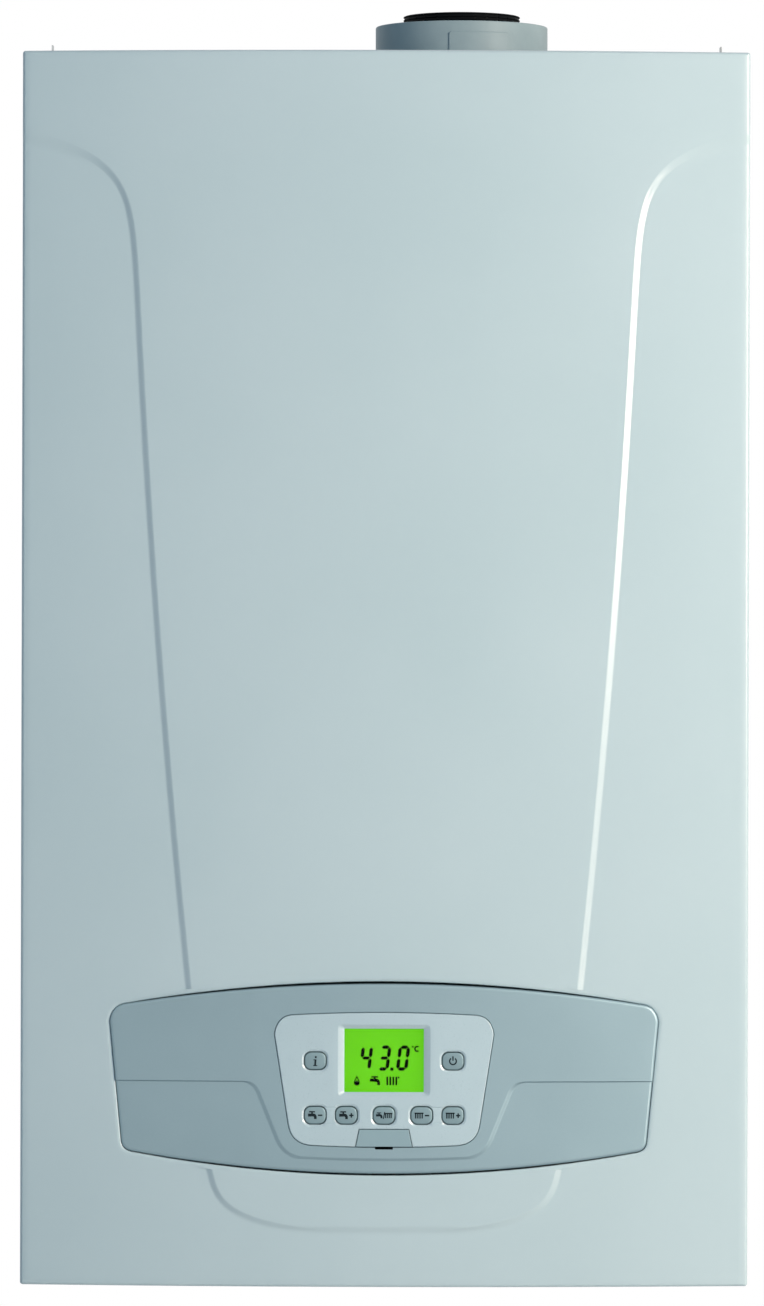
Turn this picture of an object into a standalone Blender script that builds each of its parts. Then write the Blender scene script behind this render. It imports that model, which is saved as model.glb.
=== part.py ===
# Wall-hung condensing boiler, built as separate pieces.
# Metres, +Z up. The casing's front faces -Y and the wall is the plane y = 0.
# The origin is the centre of the face that rests on the wall.

import math

import bmesh
import bpy
from mathutils import Matrix, Vector

# Overall casing
WIDTH = 0.450
HALF_WIDTH = WIDTH / 2
HEIGHT = 0.763
HALF_HEIGHT = HEIGHT / 2
CASING_FRONT_Y = -0.342
FRONT_BOW = 0.013
EDGE_RADIUS = 0.0025
RAIL_INSET = 0.006
SHEET = 0.001
SPLIT_Y = -0.300
GAP = 0.0003

# Embossed centre of the front
EMBOSS_DEPTH = 0.0015
EMBOSS_SLOPE_WIDTH = 0.004
EMBOSS_SHOULDER_Z = 0.2624
EMBOSS_SHOULDER_HALF = 0.1551
EMBOSS_TAPER = 0.0446
EMBOSS_CURVE = 0.0650
EMBOSS_FLARE = 0.0046
EMBOSS_FLARE_Z = 0.2885
EMBOSS_FLARE_LENGTH = 0.0157
EMBOSS_TOP_Z = 0.332
EMBOSS_CORNER = 0.002
EMBOSS_CORNER_Z = -0.3186
EMBOSS_CORNER_LENGTH = 0.0085
EMBOSS_BOTTOM_Z = -0.3461

# Fascia with the controls
FASCIA_PROUD = 0.0026
FASCIA_DEPTH = 0.0226
FASCIA_SWEEP = 0.0030
FASCIA_FRONT_Y = CASING_FRONT_Y - FASCIA_PROUD
FASCIA_HALF_TOP = 0.1695
FASCIA_TAPER = 0.0075
FASCIA_HALF_BOTTOM = FASCIA_HALF_TOP - FASCIA_TAPER
FASCIA_TOP_Z = -0.1942
FASCIA_BOTTOM_Z = -0.3113
FASCIA_TOP_ARC = 0.985
FASCIA_BOTTOM_ARC = 0.930
FASCIA_CORNER = 0.009
FASCIA_WALL = 0.003
FASCIA_REAR_Y = FASCIA_FRONT_Y + FASCIA_DEPTH
FASCIA_CLEARANCE = 0.0015
FASCIA_SIDE_CLEARANCE = 0.0006
CASING_RETURN = 0.010
WING_TOP_Z = -0.2545
WING_DEPTH = 0.0015
TONGUE_HALF_TOP = 0.0804
TONGUE_HALF_BOTTOM = 0.0605
TONGUE_BOTTOM_Z = -0.3017
TONGUE_ROUND = 0.007
TONGUE_SAG = 0.0013

# Control plate, display and keys
PLATE_PROUD = 0.0004
PLATE_FRONT_Y = FASCIA_FRONT_Y - PLATE_PROUD
PLATE_THICKNESS = 0.0022
PLATE_HALF_TOP = 0.0675
PLATE_TAPER = 0.0101
PLATE_HALF_BOTTOM = PLATE_HALF_TOP - PLATE_TAPER
PLATE_TOP_Z = -0.2120
PLATE_BOTTOM_Z = -0.2947
PLATE_CORNER = 0.011
PLATE_SEAT_BORDER = 0.004
DISPLAY_Z = -0.2414
DISPLAY_WIDTH = 0.0490
DISPLAY_HEIGHT = 0.0391
DISPLAY_BEZEL = 0.0038
LENS_BORDER = 0.003
LENS_THICKNESS = 0.0015
MODULE_THICKNESS = 0.006
BOARD_THICKNESS = 0.0016
BOARD_WIDTH = 0.122
BOARD_HEIGHT = 0.078
KEY_WIDTH = 0.0130
KEY_HEIGHT = 0.0104
KEY_CORNER = 0.0040
KEY_PROUD = 0.0003
KEY_ROUND = 0.0010
KEY_CLEARANCE = 0.0004
KEY_FLANGE = 0.0010
KEY_FLANGE_THICKNESS = 0.0012
KEY_UPPER_X = 0.0424
KEY_UPPER_Z = -0.2417
KEY_LOWER_Z = -0.2752
KEY_INNER_X = 0.0232
KEY_CHANNEL_HEIGHT = 0.0094
KEY_CHANNEL_DEPTH = 0.0006
FLAP_HALF_TOP = 0.0151
FLAP_HALF_BOTTOM = 0.0173
FLAP_TOP_Z = -0.2839
FLAP_THICKNESS = 0.0019
FLAP_CLEARANCE = 0.0005
FLAP_EDGE = 0.0002
FLAP_SLOT_WIDTH = 0.011
FLAP_SLOT_HEIGHT = 0.0012

# Control box behind the fascia
CONTROL_BOX_DEPTH = 0.034
CONTROL_BOX_WALL = 0.0025
CONTROL_BOX_ARM_HEIGHT = 0.030
CONTROL_BOX_ARM_THICKNESS = 0.003
POST_RADIUS = 0.004

# Hooks that carry the casing, and its screws
LUG_INSET = 0.018
LUG_X = WIDTH / 2 - LUG_INSET
LUG_THICKNESS = 0.001
LUG_REAR_Y = -0.312
LUG_DEPTH = 0.010
LUG_RISE = 0.004
LUG_CLEARANCE = 0.001
RAIL_DROP = 0.0035
RAIL_FRONT_Y = -0.322
SEAL_LENGTH = 0.400
SEAL_DEPTH = 0.010
SCREW_X = 0.100
SCREW_Y = -0.314
SCREW_RADIUS = 0.0020
SCREW_HEAD_RADIUS = 0.0045
SCREW_HEAD_HEIGHT = 0.0026
TAB_HALF = 0.012
TAB_LIFT = 0.004
TAB_FRONT_Y = -0.322
LIP_GAP = 0.0014

# Frame
BOTTOM_PLATE_Z = -0.340
REAR_SHEET = 0.0015
HOOK_HOLE_X = 0.100
HOOK_HOLE_Z = 0.345
HOOK_HOLE_WIDTH = 0.030
HOOK_HOLE_HEIGHT = 0.012

# Flue
FLUE_X = 0.0483
FLUE_Y = -0.150
COLLAR_RADIUS = 0.05535
COLLAR_RISE = 0.0309
COLLAR_FLANGE_RADIUS = 0.066
COLLAR_FLANGE_THICKNESS = 0.004
COLLAR_PAD_TURN_FROM = math.radians(-9.4)
COLLAR_PAD_TURN_TO = math.radians(33.5)
COLLAR_PAD_DROP = 0.0075
COLLAR_PAD_HEIGHT = 0.018
COLLAR_PAD_PROUD = 0.0008
FLUE_RADIUS = 0.0310
FLUE_WALL = 0.0015
RING_RADIUS = 0.0375
RING_RISE = 0.007
RING_DEPTH = 0.018

# Expansion vessel
VESSEL_X = -0.030
VESSEL_Z = 0.170
VESSEL_RADIUS = 0.160
VESSEL_DEPTH = 0.075

# Heat exchanger drum and burner
DRUM_X = -0.045
DRUM_Z = 0.175
DRUM_RADIUS = 0.105
DRUM_WALL = 0.018
DRUM_REAR_Y = -0.100
DRUM_LENGTH = 0.155
DRUM_BAR_HEIGHT = 0.030
DRUM_BAR_THICKNESS = 0.004
SPIGOT_TOP_Z = 0.300
DOOR_RADIUS = 0.100
DOOR_THICKNESS = 0.015
BURNER_RADIUS = 0.035
BURNER_LENGTH = 0.100
BURNER_WALL = 0.0015
ELECTRODE_RADIUS = 0.0040
ELECTRODE_HEAD_RADIUS = 0.0080
ELECTRODE_HEAD_LENGTH = 0.018
ELECTRODE_TIP_LENGTH = 0.045
ELECTRODE_OFFSET = 0.055

# Fan, mixer, silencer and gas valve
FAN_X = 0.120
FAN_Z = 0.030
FAN_RADIUS = 0.062
FAN_FRONT_Y = -0.235
FAN_WIDTH = 0.050
FAN_WALL = 0.004
FAN_INLET_RADIUS = 0.022
FAN_SHAFT_RADIUS = 0.004
FAN_BLADES = 12
IMPELLER_RADIUS = 0.044
IMPELLER_HUB_RADIUS = 0.016
IMPELLER_WIDTH = 0.030
FAN_MOTOR_RADIUS = 0.035
FAN_MOTOR_LENGTH = 0.050
NECK_HALF = 0.018
NECK_TOP_Z = 0.125
MIXER_RADIUS = 0.030
MIXER_LENGTH = 0.040
MIXER_PORT_RADIUS = 0.011
SILENCER_LENGTH = 0.200
SILENCER_DEPTH = 0.040
SILENCER_HEIGHT = 0.045
GAS_VALVE_TOP_Z = -0.060
GAS_VALVE_HEIGHT = 0.070
GAS_VALVE_HALF = 0.035
GAS_VALVE_FRONT_Y = -0.270
GAS_VALVE_DEPTH = 0.075

# Hydraulics
MANIFOLD_INNER_X = 0.0953
MANIFOLD_LENGTH = 0.105
MANIFOLD_TOP_Z = -0.235
MANIFOLD_FRONT_Y = -0.130
MANIFOLD_DEPTH = 0.085
PLATE_STACK_TOP_Z = -0.240
PLATE_STACK_HEIGHT = 0.065
PLATE_STACK_DEPTH = 0.070
PLATE_STACK_REAR_Y = -0.045
PUMP_X = 0.148
PUMP_Z = -0.286
PUMP_RADIUS = 0.046
PUMP_LENGTH = 0.060
PUMP_WALL = 0.005
PUMP_MOTOR_RADIUS = 0.042
PUMP_MOTOR_LENGTH = 0.075
PUMP_IMPELLER_RADIUS = 0.034
PUMP_IMPELLER_WIDTH = 0.016
PUMP_SHAFT_RADIUS = 0.005
PUMP_BLADES = 7
VENT_RADIUS = 0.014
VENT_HEIGHT = 0.045
DIVERTER_X = -0.125
DIVERTER_Y = -0.088
DIVERTER_HALF = 0.020
DIVERTER_HEIGHT = 0.055
STEM_BORE_RADIUS = 0.0100
STEM_BORE_DEPTH = 0.060
STEM_PLUG_RADIUS = 0.0096
STEM_LENGTH = 0.045
SAFETY_INSET = 0.053
SAFETY_X = SAFETY_INSET - HALF_WIDTH
SAFETY_Z = -0.290
SAFETY_RADIUS = 0.014
SAFETY_LENGTH = 0.035
SAFETY_KNOB_RADIUS = 0.016
SAFETY_KNOB_LENGTH = 0.020
TRAP_X = -0.120
TRAP_Y = -0.180
TRAP_RADIUS = 0.026
TRAP_TOP_Z = -0.200
TRAP_PIPE_RADIUS = 0.009
WATER_PIPE_RADIUS = 0.009
HOSE_RADIUS = 0.006
FILL_INSET = 0.057
FILL_X = FILL_INSET - HALF_WIDTH
FILL_Y = -0.110
FILL_SPINDLE_RADIUS = 0.0045
FILL_KNOB_RADIUS = 0.012
FILL_KNOB_LENGTH = 0.020

# Connections under the boiler
PORT_PITCH = 0.065
PORT_Y = -0.095
PORT_RADIUS = 0.0105
PORT_BORE_RADIUS = 0.0075
PORT_COLLAR_RADIUS = 0.0160
PORT_COLLAR_HEIGHT = 0.005
PORT_END_Z = -0.378
PORT_CLEARANCE = 0.0008
GAS_PORT_TOP_Z = -0.3385

# Sides of the round pieces, from the largest to the smallest
SIDES_LARGE = 32
SIDES = 24
SIDES_SMALL = 16
SIDES_TINY = 12

MIN_STEP = 0.002


def remove_scene_objects():
    for thing in list(bpy.data.objects):
        bpy.data.objects.remove(thing)


def make_material(name, colour, roughness, metallic=0.0):
    material = bpy.data.materials.new(name)
    material.use_nodes = True
    shader = material.node_tree.nodes["Principled BSDF"]
    shader.inputs["Base Color"].default_value = (*colour, 1.0)
    shader.inputs["Roughness"].default_value = roughness
    shader.inputs["Metallic"].default_value = metallic
    material.diffuse_color = (*colour, 1.0)
    return material


def add_object(name, mesh_data, material=None, origin=(0.0, 0.0, 0.0), smooth_angle=None):
    """Turn a bmesh drawn in world places into an object whose origin is given."""
    offset = Vector(origin)
    bmesh.ops.translate(mesh_data, verts=mesh_data.verts, vec=-offset)
    bmesh.ops.recalc_face_normals(mesh_data, faces=mesh_data.faces)
    mesh = bpy.data.meshes.new(name)
    mesh_data.to_mesh(mesh)
    mesh_data.free()
    if smooth_angle is not None:
        mesh.shade_smooth()
        mesh.set_sharp_from_angle(angle=math.radians(smooth_angle))
    thing = bpy.data.objects.new(name, mesh)
    thing.location = offset
    bpy.context.collection.objects.link(thing)
    if material is not None:
        mesh.materials.append(material)
    return thing


def add_cutter(name, mesh_data):
    cutter = add_object(name, mesh_data)
    cutter.hide_render = True
    cutter.display_type = "WIRE"
    return cutter


def combine(thing, mesh_data, operation):
    """Union or difference with a hidden helper mesh drawn in world places."""
    count = len(thing.modifiers)
    helper = add_cutter("{}_helper_{}".format(thing.name, count), mesh_data)
    step = thing.modifiers.new("{}_{}".format(operation.lower(), count), "BOOLEAN")
    step.operation = operation
    step.solver = "EXACT"
    step.object = helper
    return thing


def box_mesh(low, high, mesh_data=None):
    mesh_data = mesh_data or bmesh.new()
    centre = [(a + b) / 2 for a, b in zip(low, high)]
    size = [b - a for a, b in zip(low, high)]
    place = Matrix.Translation(centre) @ Matrix.Diagonal((*size, 1.0))
    bmesh.ops.create_cube(mesh_data, size=1.0, matrix=place)
    return mesh_data


def axis_point(axis, centre, radius, angle, along):
    """Point at an angle and a radius round an axis, a distance along it."""
    a = radius * math.cos(angle)
    b = radius * math.sin(angle)
    if axis == "Z":
        return (centre[0] + a, centre[1] + b, along)
    if axis == "Y":
        return (centre[0] + a, along, centre[1] + b)
    return (along, centre[0] + a, centre[1] + b)


def turned_mesh(profile, axis, centre, segments=SIDES, closed=False, mesh_data=None):
    """Turn a profile of (radius, distance along the axis) about the axis."""
    mesh_data = mesh_data or bmesh.new()
    rings = []
    for radius, along in profile:
        if radius == 0.0:
            rings.append([mesh_data.verts.new(axis_point(axis, centre, 0.0, 0.0, along))])
        else:
            rings.append([
                mesh_data.verts.new(axis_point(axis, centre, radius, math.tau * k / segments, along))
                for k in range(segments)
            ])
    pairs = list(zip(rings, rings[1:]))
    if closed:
        pairs.append((rings[-1], rings[0]))
    for first, second in pairs:
        for k in range(segments):
            n = (k + 1) % segments
            corners = [first[k % len(first)], first[n % len(first)]]
            corners += [second[n % len(second)], second[k % len(second)]]
            unique = []
            for corner in corners:
                if corner not in unique:
                    unique.append(corner)
            mesh_data.faces.new(unique)
    return mesh_data


def cylinder_mesh(axis, centre, radius, start, end, segments=SIDES, mesh_data=None):
    profile = [(0.0, start), (radius, start), (radius, end), (0.0, end)]
    return turned_mesh(profile, axis, centre, segments, False, mesh_data)


def ring_mesh(axis, centre, outer, inner, start, end, segments=SIDES, mesh_data=None):
    profile = [(outer, start), (outer, end), (inner, end), (inner, start)]
    return turned_mesh(profile, axis, centre, segments, True, mesh_data)


def prism_mesh(outline, y_front, y_back, mesh_data=None):
    """Extrude an outline of (x, z) points between two depths."""
    mesh_data = mesh_data or bmesh.new()
    front = [mesh_data.verts.new((x, y_front, z)) for x, z in outline]
    back = [mesh_data.verts.new((x, y_back, z)) for x, z in outline]
    count = len(outline)
    mesh_data.faces.new(front)
    mesh_data.faces.new(list(reversed(back)))
    for k in range(count):
        n = (k + 1) % count
        mesh_data.faces.new([front[n], front[k], back[k], back[n]])
    return mesh_data


def bend(start, corner, end, count=5):
    """Points on the round of a corner, from start to end."""
    points = []
    for k in range(count + 1):
        t = k / count
        u = 1 - t
        points.append(tuple(u * u * a + 2 * u * t * b + t * t * c for a, b, c in zip(start, corner, end)))
    return points


def bow(x):
    return FRONT_BOW * (x / HALF_WIDTH) ** 2


def panel_bow(x):
    """Set-back of the fascia and the plate, whose ends sweep back further than the casing."""
    return bow(x) + FASCIA_SWEEP * (x / FASCIA_HALF_TOP) ** 2


def chain_height(chain, x):
    """Height of a chain of (x, z) points, ordered by x, at one x."""
    for (x0, z0), (x1, z1) in zip(chain, chain[1:]):
        if x0 <= x <= x1 and x1 > x0:
            return z0 + (z1 - z0) * (x - x0) / (x1 - x0)
    return chain[0][1] if x < chain[0][0] else chain[-1][1]


def bowed_mesh(upper, lower, front, back, mesh_data=None):
    """Plate between an upper and a lower chain, whose faces follow front(x) and back(x)."""
    mesh_data = mesh_data or bmesh.new()
    xs = sorted({round(point[0], 6) for point in upper + lower})
    columns = []
    for x in xs:
        top = chain_height(upper, x)
        bottom = chain_height(lower, x)
        if top - bottom < 1e-6:
            pair = (mesh_data.verts.new((x, front(x), top)), mesh_data.verts.new((x, back(x), top)))
            columns.append((pair[0], pair[0], pair[1], pair[1]))
        else:
            columns.append(tuple(
                mesh_data.verts.new((x, depth(x), z)) for depth, z in
                ((front, top), (front, bottom), (back, bottom), (back, top))
            ))
    for left, right in zip(columns, columns[1:]):
        for k in range(4):
            n = (k + 1) % 4
            corners = []
            for corner in (left[k], right[k], right[n], left[n]):
                if corner not in corners:
                    corners.append(corner)
            if len(corners) > 2:
                mesh_data.faces.new(corners)
    for ends in (columns[0], columns[-1]):
        if len(set(ends)) == 4:
            mesh_data.faces.new(ends)
    return mesh_data


def mirrored(chain):
    return chain + [(-x, z) for x, z in reversed(chain)]


def panel_chains(half_top, half_bottom, top_z, bottom_z, top_arc, bottom_arc, corner, grow, side_grow=None):
    """Upper and lower chains of a panel with arched edges, slanting sides and round corners."""
    side_grow = grow if side_grow is None else side_grow

    def top_edge(x):
        return top_z + grow - x * x / (2 * top_arc)

    def bottom_edge(x):
        return bottom_z - grow + x * x / (2 * bottom_arc)

    side_top = -(half_top + side_grow)
    side_bottom = -(half_bottom + side_grow)
    round_in = corner + grow
    shoulder_z = top_edge(side_top) - round_in
    foot_z = bottom_edge(side_bottom) + round_in
    upper = bend(
        (side_top, shoulder_z),
        (side_top + 0.002, top_edge(side_top)),
        (side_top + round_in, top_edge(side_top + round_in)),
    )
    lower = [(side_top, shoulder_z)] + bend(
        (side_bottom - 0.0006, foot_z),
        (side_bottom + 0.0006, bottom_edge(side_bottom)),
        (side_bottom + round_in, bottom_edge(side_bottom + round_in)),
    )
    for share in (0.75, 0.5, 0.25):
        x_top = (side_top + round_in) * share
        upper.append((x_top, top_edge(x_top)))
        x_bottom = (side_bottom + round_in) * share
        lower.append((x_bottom, bottom_edge(x_bottom)))
    return mirrored(upper), mirrored(lower)


def fascia_chains(grow=0.0, side_grow=None):
    return panel_chains(
        FASCIA_HALF_TOP, FASCIA_HALF_BOTTOM, FASCIA_TOP_Z, FASCIA_BOTTOM_Z,
        FASCIA_TOP_ARC, FASCIA_BOTTOM_ARC, FASCIA_CORNER, grow, side_grow,
    )


def opening_chains(grow=0.0):
    """Chains of the casing's opening round the fascia."""
    return fascia_chains(FASCIA_CLEARANCE + grow, FASCIA_SIDE_CLEARANCE + grow)


def plate_chains(grow=0.0):
    return panel_chains(
        PLATE_HALF_TOP, PLATE_HALF_BOTTOM, PLATE_TOP_Z, PLATE_BOTTOM_Z,
        FASCIA_TOP_ARC, FASCIA_BOTTOM_ARC, PLATE_CORNER, grow,
    )


def closed_outline(chains):
    """One loop of (x, z) points from an upper and a lower chain."""
    upper, lower = chains
    return upper + list(reversed(lower[1:-1]))


def smooth_path(points, spacing):
    """Evenly spread points on a smooth curve through the given ones."""
    ends = [Vector(points[0]) * 2 - Vector(points[1])]
    ends += [Vector(point) for point in points]
    ends.append(Vector(points[-1]) * 2 - Vector(points[-2]))
    dense = []
    for a, b, c, d in zip(ends, ends[1:], ends[2:], ends[3:]):
        steps = max(2, round((c - b).length / spacing))
        for k in range(steps):
            t = k / steps
            dense.append(0.5 * (
                2 * b + (c - a) * t + (2 * a - 5 * b + 4 * c - d) * t * t + (3 * b - 3 * c + d - a) * t ** 3
            ))
    dense.append(ends[-2])
    return dense


def add_tube(name, points, radius, material):
    """Round pipe along a route, straight for one radius at its flat ends."""
    start, second, before, end = (Vector(points[k]) for k in (0, 1, -2, -1))
    inner = [start + (second - start).normalized() * radius] + points[1:-1]
    inner.append(end + (before - end).normalized() * radius)
    route = [start] + smooth_path(inner, radius * 4) + [end]
    curve = bpy.data.curves.new(name, "CURVE")
    curve.dimensions = "3D"
    curve.bevel_depth = radius
    curve.bevel_resolution = 2
    curve.use_fill_caps = True
    spline = curve.splines.new("POLY")
    spline.points.add(len(route) - 1)
    for point, place in zip(spline.points, route):
        point.co = (*place, 1.0)
    curve.materials.append(material)
    pipe = bpy.data.objects.new(name, curve)
    bpy.context.collection.objects.link(pipe)
    return pipe


def rounded_rectangle(width, height, corner, centre=(0.0, 0.0), steps=4):
    points = []
    for turn, (sx, sz) in enumerate(((1, 1), (-1, 1), (-1, -1), (1, -1))):
        cx = centre[0] + sx * (width / 2 - corner)
        cz = centre[1] + sz * (height / 2 - corner)
        for k in range(steps + 1):
            angle = math.pi / 2 * (turn + k / steps)
            points.append((cx + corner * math.cos(angle), cz + corner * math.sin(angle)))
    return points


def emboss_half(z):
    """Half width of the raised middle of the front at one height."""
    below = EMBOSS_SHOULDER_Z - z
    half = EMBOSS_SHOULDER_HALF - EMBOSS_TAPER * below - EMBOSS_CURVE * below * abs(below)
    half += EMBOSS_FLARE * math.exp((z - EMBOSS_FLARE_Z) / EMBOSS_FLARE_LENGTH)
    half -= EMBOSS_CORNER * math.exp((EMBOSS_CORNER_Z - z) / EMBOSS_CORNER_LENGTH)
    return half


def casing_rows(inset):
    """Heights of the front's rows, with whether each can be raised in the middle."""
    round_in = EDGE_RADIUS - inset
    reach = HALF_HEIGHT - inset
    edge = [reach - round_in * share for share in (0.0, 0.25, 0.5, 1.0)]
    middle = [EMBOSS_TOP_Z + drop for drop in (0.028, 0.005, -0.003, -0.009, -0.016, -0.024, -0.034, -0.049)]
    middle += [EMBOSS_SHOULDER_Z - drop for drop in (0.0, 0.064, 0.144, 0.224, 0.304, 0.384, 0.464, 0.534)]
    middle += [EMBOSS_BOTTOM_Z + rise for rise in (0.038, 0.026, 0.017, 0.010, 0.005, 0.002, -0.002, -0.014)]
    return edge + middle + [-z for z in reversed(edge)]


def casing_row_points(z, inset):
    """Points (x, y, z) of the front across one row, left to middle."""
    round_in = EDGE_RADIUS - inset
    reach = HALF_WIDTH - inset
    edge = [reach - round_in * share for share in (0.0, 0.25, 0.5, 1.0)]
    limit = reach - round_in - MIN_STEP
    half = emboss_half(min(max(z, EMBOSS_BOTTOM_Z + 0.002), EMBOSS_TOP_Z - 0.003))
    outer = min(half + EMBOSS_SLOPE_WIDTH / 2, limit)
    inner = min(half - EMBOSS_SLOPE_WIDTH / 2, outer - MIN_STEP)
    wide = z > EMBOSS_TOP_Z
    flat = z < EMBOSS_BOTTOM_Z
    edge_dz = max(0.0, abs(z) - (HALF_HEIGHT - inset - round_in))
    points = []
    spread = [(x, wide) for x in edge]
    spread += [((edge[-1] + outer) / 2, wide), (outer, wide)]
    spread += [(inner * share, not flat) for share in (1.0, 0.75, 0.5, 0.25, 0.0)]
    for x, raised in spread:
        edge_dx = max(0.0, x - (reach - round_in))
        q = min(math.hypot(edge_dx, edge_dz), round_in)
        y = CASING_FRONT_Y + inset + bow(x) + round_in - math.sqrt(round_in ** 2 - q ** 2)
        if not raised:
            y += EMBOSS_DEPTH
        points.append((x, y, z))
    return points


def casing_solid(inset, rear_y):
    """Solid block under the front's surface, closed by a flat back."""
    mesh_data = bmesh.new()
    grid = []
    for z in casing_rows(inset):
        right = casing_row_points(z, inset)
        row = [(-x, y, z) for x, y, z in right[:-1]] + list(reversed(right))
        grid.append([mesh_data.verts.new(point) for point in row])
    for upper, lower in zip(grid, grid[1:]):
        for k in range(len(upper) - 1):
            mesh_data.faces.new([upper[k], upper[k + 1], lower[k + 1], lower[k]])
    rim = grid[0] + [row[-1] for row in grid[1:-1]] + list(reversed(grid[-1]))
    rim += [row[0] for row in reversed(grid[1:-1])]
    back = [mesh_data.verts.new((vert.co.x, rear_y, vert.co.z)) for vert in rim]
    for k in range(len(rim)):
        n = (k + 1) % len(rim)
        mesh_data.faces.new([rim[k], rim[n], back[n], back[k]])
    mesh_data.faces.new(back)
    return mesh_data


def casing_surface_y(x, z):
    """Depth of the front's outer surface away from its rounded edges."""
    raised = z > EMBOSS_TOP_Z or (abs(x) < emboss_half(z) and z > EMBOSS_BOTTOM_Z)
    return CASING_FRONT_Y + bow(x) + (0.0 if raised else EMBOSS_DEPTH)


def add_front_casing(material):
    casing = add_object(
        "front_casing", casing_solid(0.0, SPLIT_Y), material,
        origin=(0.0, SPLIT_Y, HALF_HEIGHT), smooth_angle=30,
    )
    combine(casing, casing_solid(SHEET, SPLIT_Y + 0.02), "DIFFERENCE")
    collar = bmesh.new()
    outer = closed_outline(opening_chains(SHEET))
    inner = closed_outline(opening_chains(-GAP))
    loops = []
    flange = ((outer, SHEET / 2), (inner, SHEET / 2), (inner, CASING_RETURN), (outer, CASING_RETURN))
    for outline, start in flange:
        loops.append([
            collar.verts.new((x, casing_surface_y(x, z) + start, z)) for x, z in outline
        ])
    for first, second in zip(loops, loops[1:] + loops[:1]):
        for k in range(len(first)):
            n = (k + 1) % len(first)
            collar.faces.new([first[k], first[n], second[n], second[k]])
    combine(casing, collar, "UNION")
    pocket_top = -HALF_HEIGHT + TAB_LIFT
    for side in (-1, 1):
        x = side * SCREW_X
        block = box_mesh(
            (x - TAB_HALF, TAB_FRONT_Y, -HALF_HEIGHT + SHEET / 2),
            (x + TAB_HALF, SPLIT_Y, pocket_top + SHEET),
        )
        combine(casing, block, "UNION")
    cuts = bmesh.new()
    opening = opening_chains()
    bowed_mesh(*opening, lambda x: CASING_FRONT_Y - 0.01, lambda x: SPLIT_Y, cuts)
    for side in (-1, 1):
        x = side * SCREW_X
        box_mesh(
            (x - TAB_HALF + SHEET, TAB_FRONT_Y + SHEET, -HALF_HEIGHT - 0.002),
            (x + TAB_HALF - SHEET, SPLIT_Y + 0.002, pocket_top), cuts,
        )
        x = side * LUG_X
        box_mesh(
            (x - LUG_THICKNESS / 2 - LUG_CLEARANCE, LUG_REAR_Y - LUG_DEPTH - LUG_CLEARANCE,
             HALF_HEIGHT - 3 * SHEET),
            (x + LUG_THICKNESS / 2 + LUG_CLEARANCE, LUG_REAR_Y + LUG_CLEARANCE, HALF_HEIGHT + 0.003), cuts,
        )
    combine(casing, cuts, "DIFFERENCE")
    slots = bmesh.new()
    slot_half = SCREW_RADIUS + 2 * GAP
    for side in (-1, 1):
        x = side * SCREW_X
        box_mesh(
            (x - slot_half, SCREW_Y - slot_half, pocket_top - 0.001),
            (x + slot_half, SPLIT_Y + 0.002, pocket_top + SHEET + 0.001), slots,
        )
    combine(casing, slots, "DIFFERENCE")
    return casing


def add_casing_screw(name, x, material):
    head_top = -HALF_HEIGHT + TAB_LIFT - GAP
    lip_top = -HALF_HEIGHT + TAB_LIFT + SHEET + LIP_GAP + SHEET
    profile = [
        (0.0, head_top - SCREW_HEAD_HEIGHT), (SCREW_HEAD_RADIUS, head_top - SCREW_HEAD_HEIGHT),
        (SCREW_HEAD_RADIUS, head_top), (SCREW_RADIUS, head_top),
        (SCREW_RADIUS, lip_top + 0.003), (0.0, lip_top + 0.003),
    ]
    return add_object(name, turned_mesh(profile, "Z", (x, SCREW_Y), SIDES_TINY), material, smooth_angle=40)


def add_frame(steel, foam):
    inner_x = HALF_WIDTH - SHEET - GAP
    rear = add_object("rear_frame", box_mesh(
        (-inner_x, -REAR_SHEET, -HALF_HEIGHT), (inner_x, 0.0, HALF_HEIGHT - SHEET - GAP),
    ), steel)
    holes = bmesh.new()
    for side in (-1, 1):
        x = side * HOOK_HOLE_X
        box_mesh(
            (x - HOOK_HOLE_WIDTH / 2, -0.01, HOOK_HOLE_Z - HOOK_HOLE_HEIGHT / 2),
            (x + HOOK_HOLE_WIDTH / 2, 0.01, HOOK_HOLE_Z + HOOK_HOLE_HEIGHT / 2), holes,
        )
    combine(rear, holes, "DIFFERENCE")
    for name, side in (("left_side_panel", -1), ("right_side_panel", 1)):
        xs = sorted((side * HALF_WIDTH, side * (HALF_WIDTH - SHEET)))
        add_object(name, box_mesh(
            (xs[0], SPLIT_Y + GAP, -HALF_HEIGHT), (xs[1], 0.0, HALF_HEIGHT - SHEET - GAP),
        ), steel)
    add_top_panel(steel)
    rail_top = HALF_HEIGHT - RAIL_DROP
    add_object("casing_seal", box_mesh(
        (-SEAL_LENGTH / 2, SPLIT_Y - 2 * SHEET - SEAL_DEPTH / 2 - 0.003, rail_top + GAP),
        (SEAL_LENGTH / 2, SPLIT_Y - 2 * SHEET + SEAL_DEPTH / 2 - 0.003, HALF_HEIGHT - SHEET - GAP),
    ), foam)
    add_bottom_plate(steel)


def extruded_profile(outline, half_length):
    """Sheet-metal profile of (y, z) points drawn out along X."""
    mesh_data = bmesh.new()
    left = [mesh_data.verts.new((-half_length, y, z)) for y, z in outline]
    right = [mesh_data.verts.new((half_length, y, z)) for y, z in outline]
    mesh_data.faces.new(left)
    mesh_data.faces.new(list(reversed(right)))
    for k in range(len(outline)):
        n = (k + 1) % len(outline)
        mesh_data.faces.new([left[n], left[k], right[k], right[n]])
    return mesh_data


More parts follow.
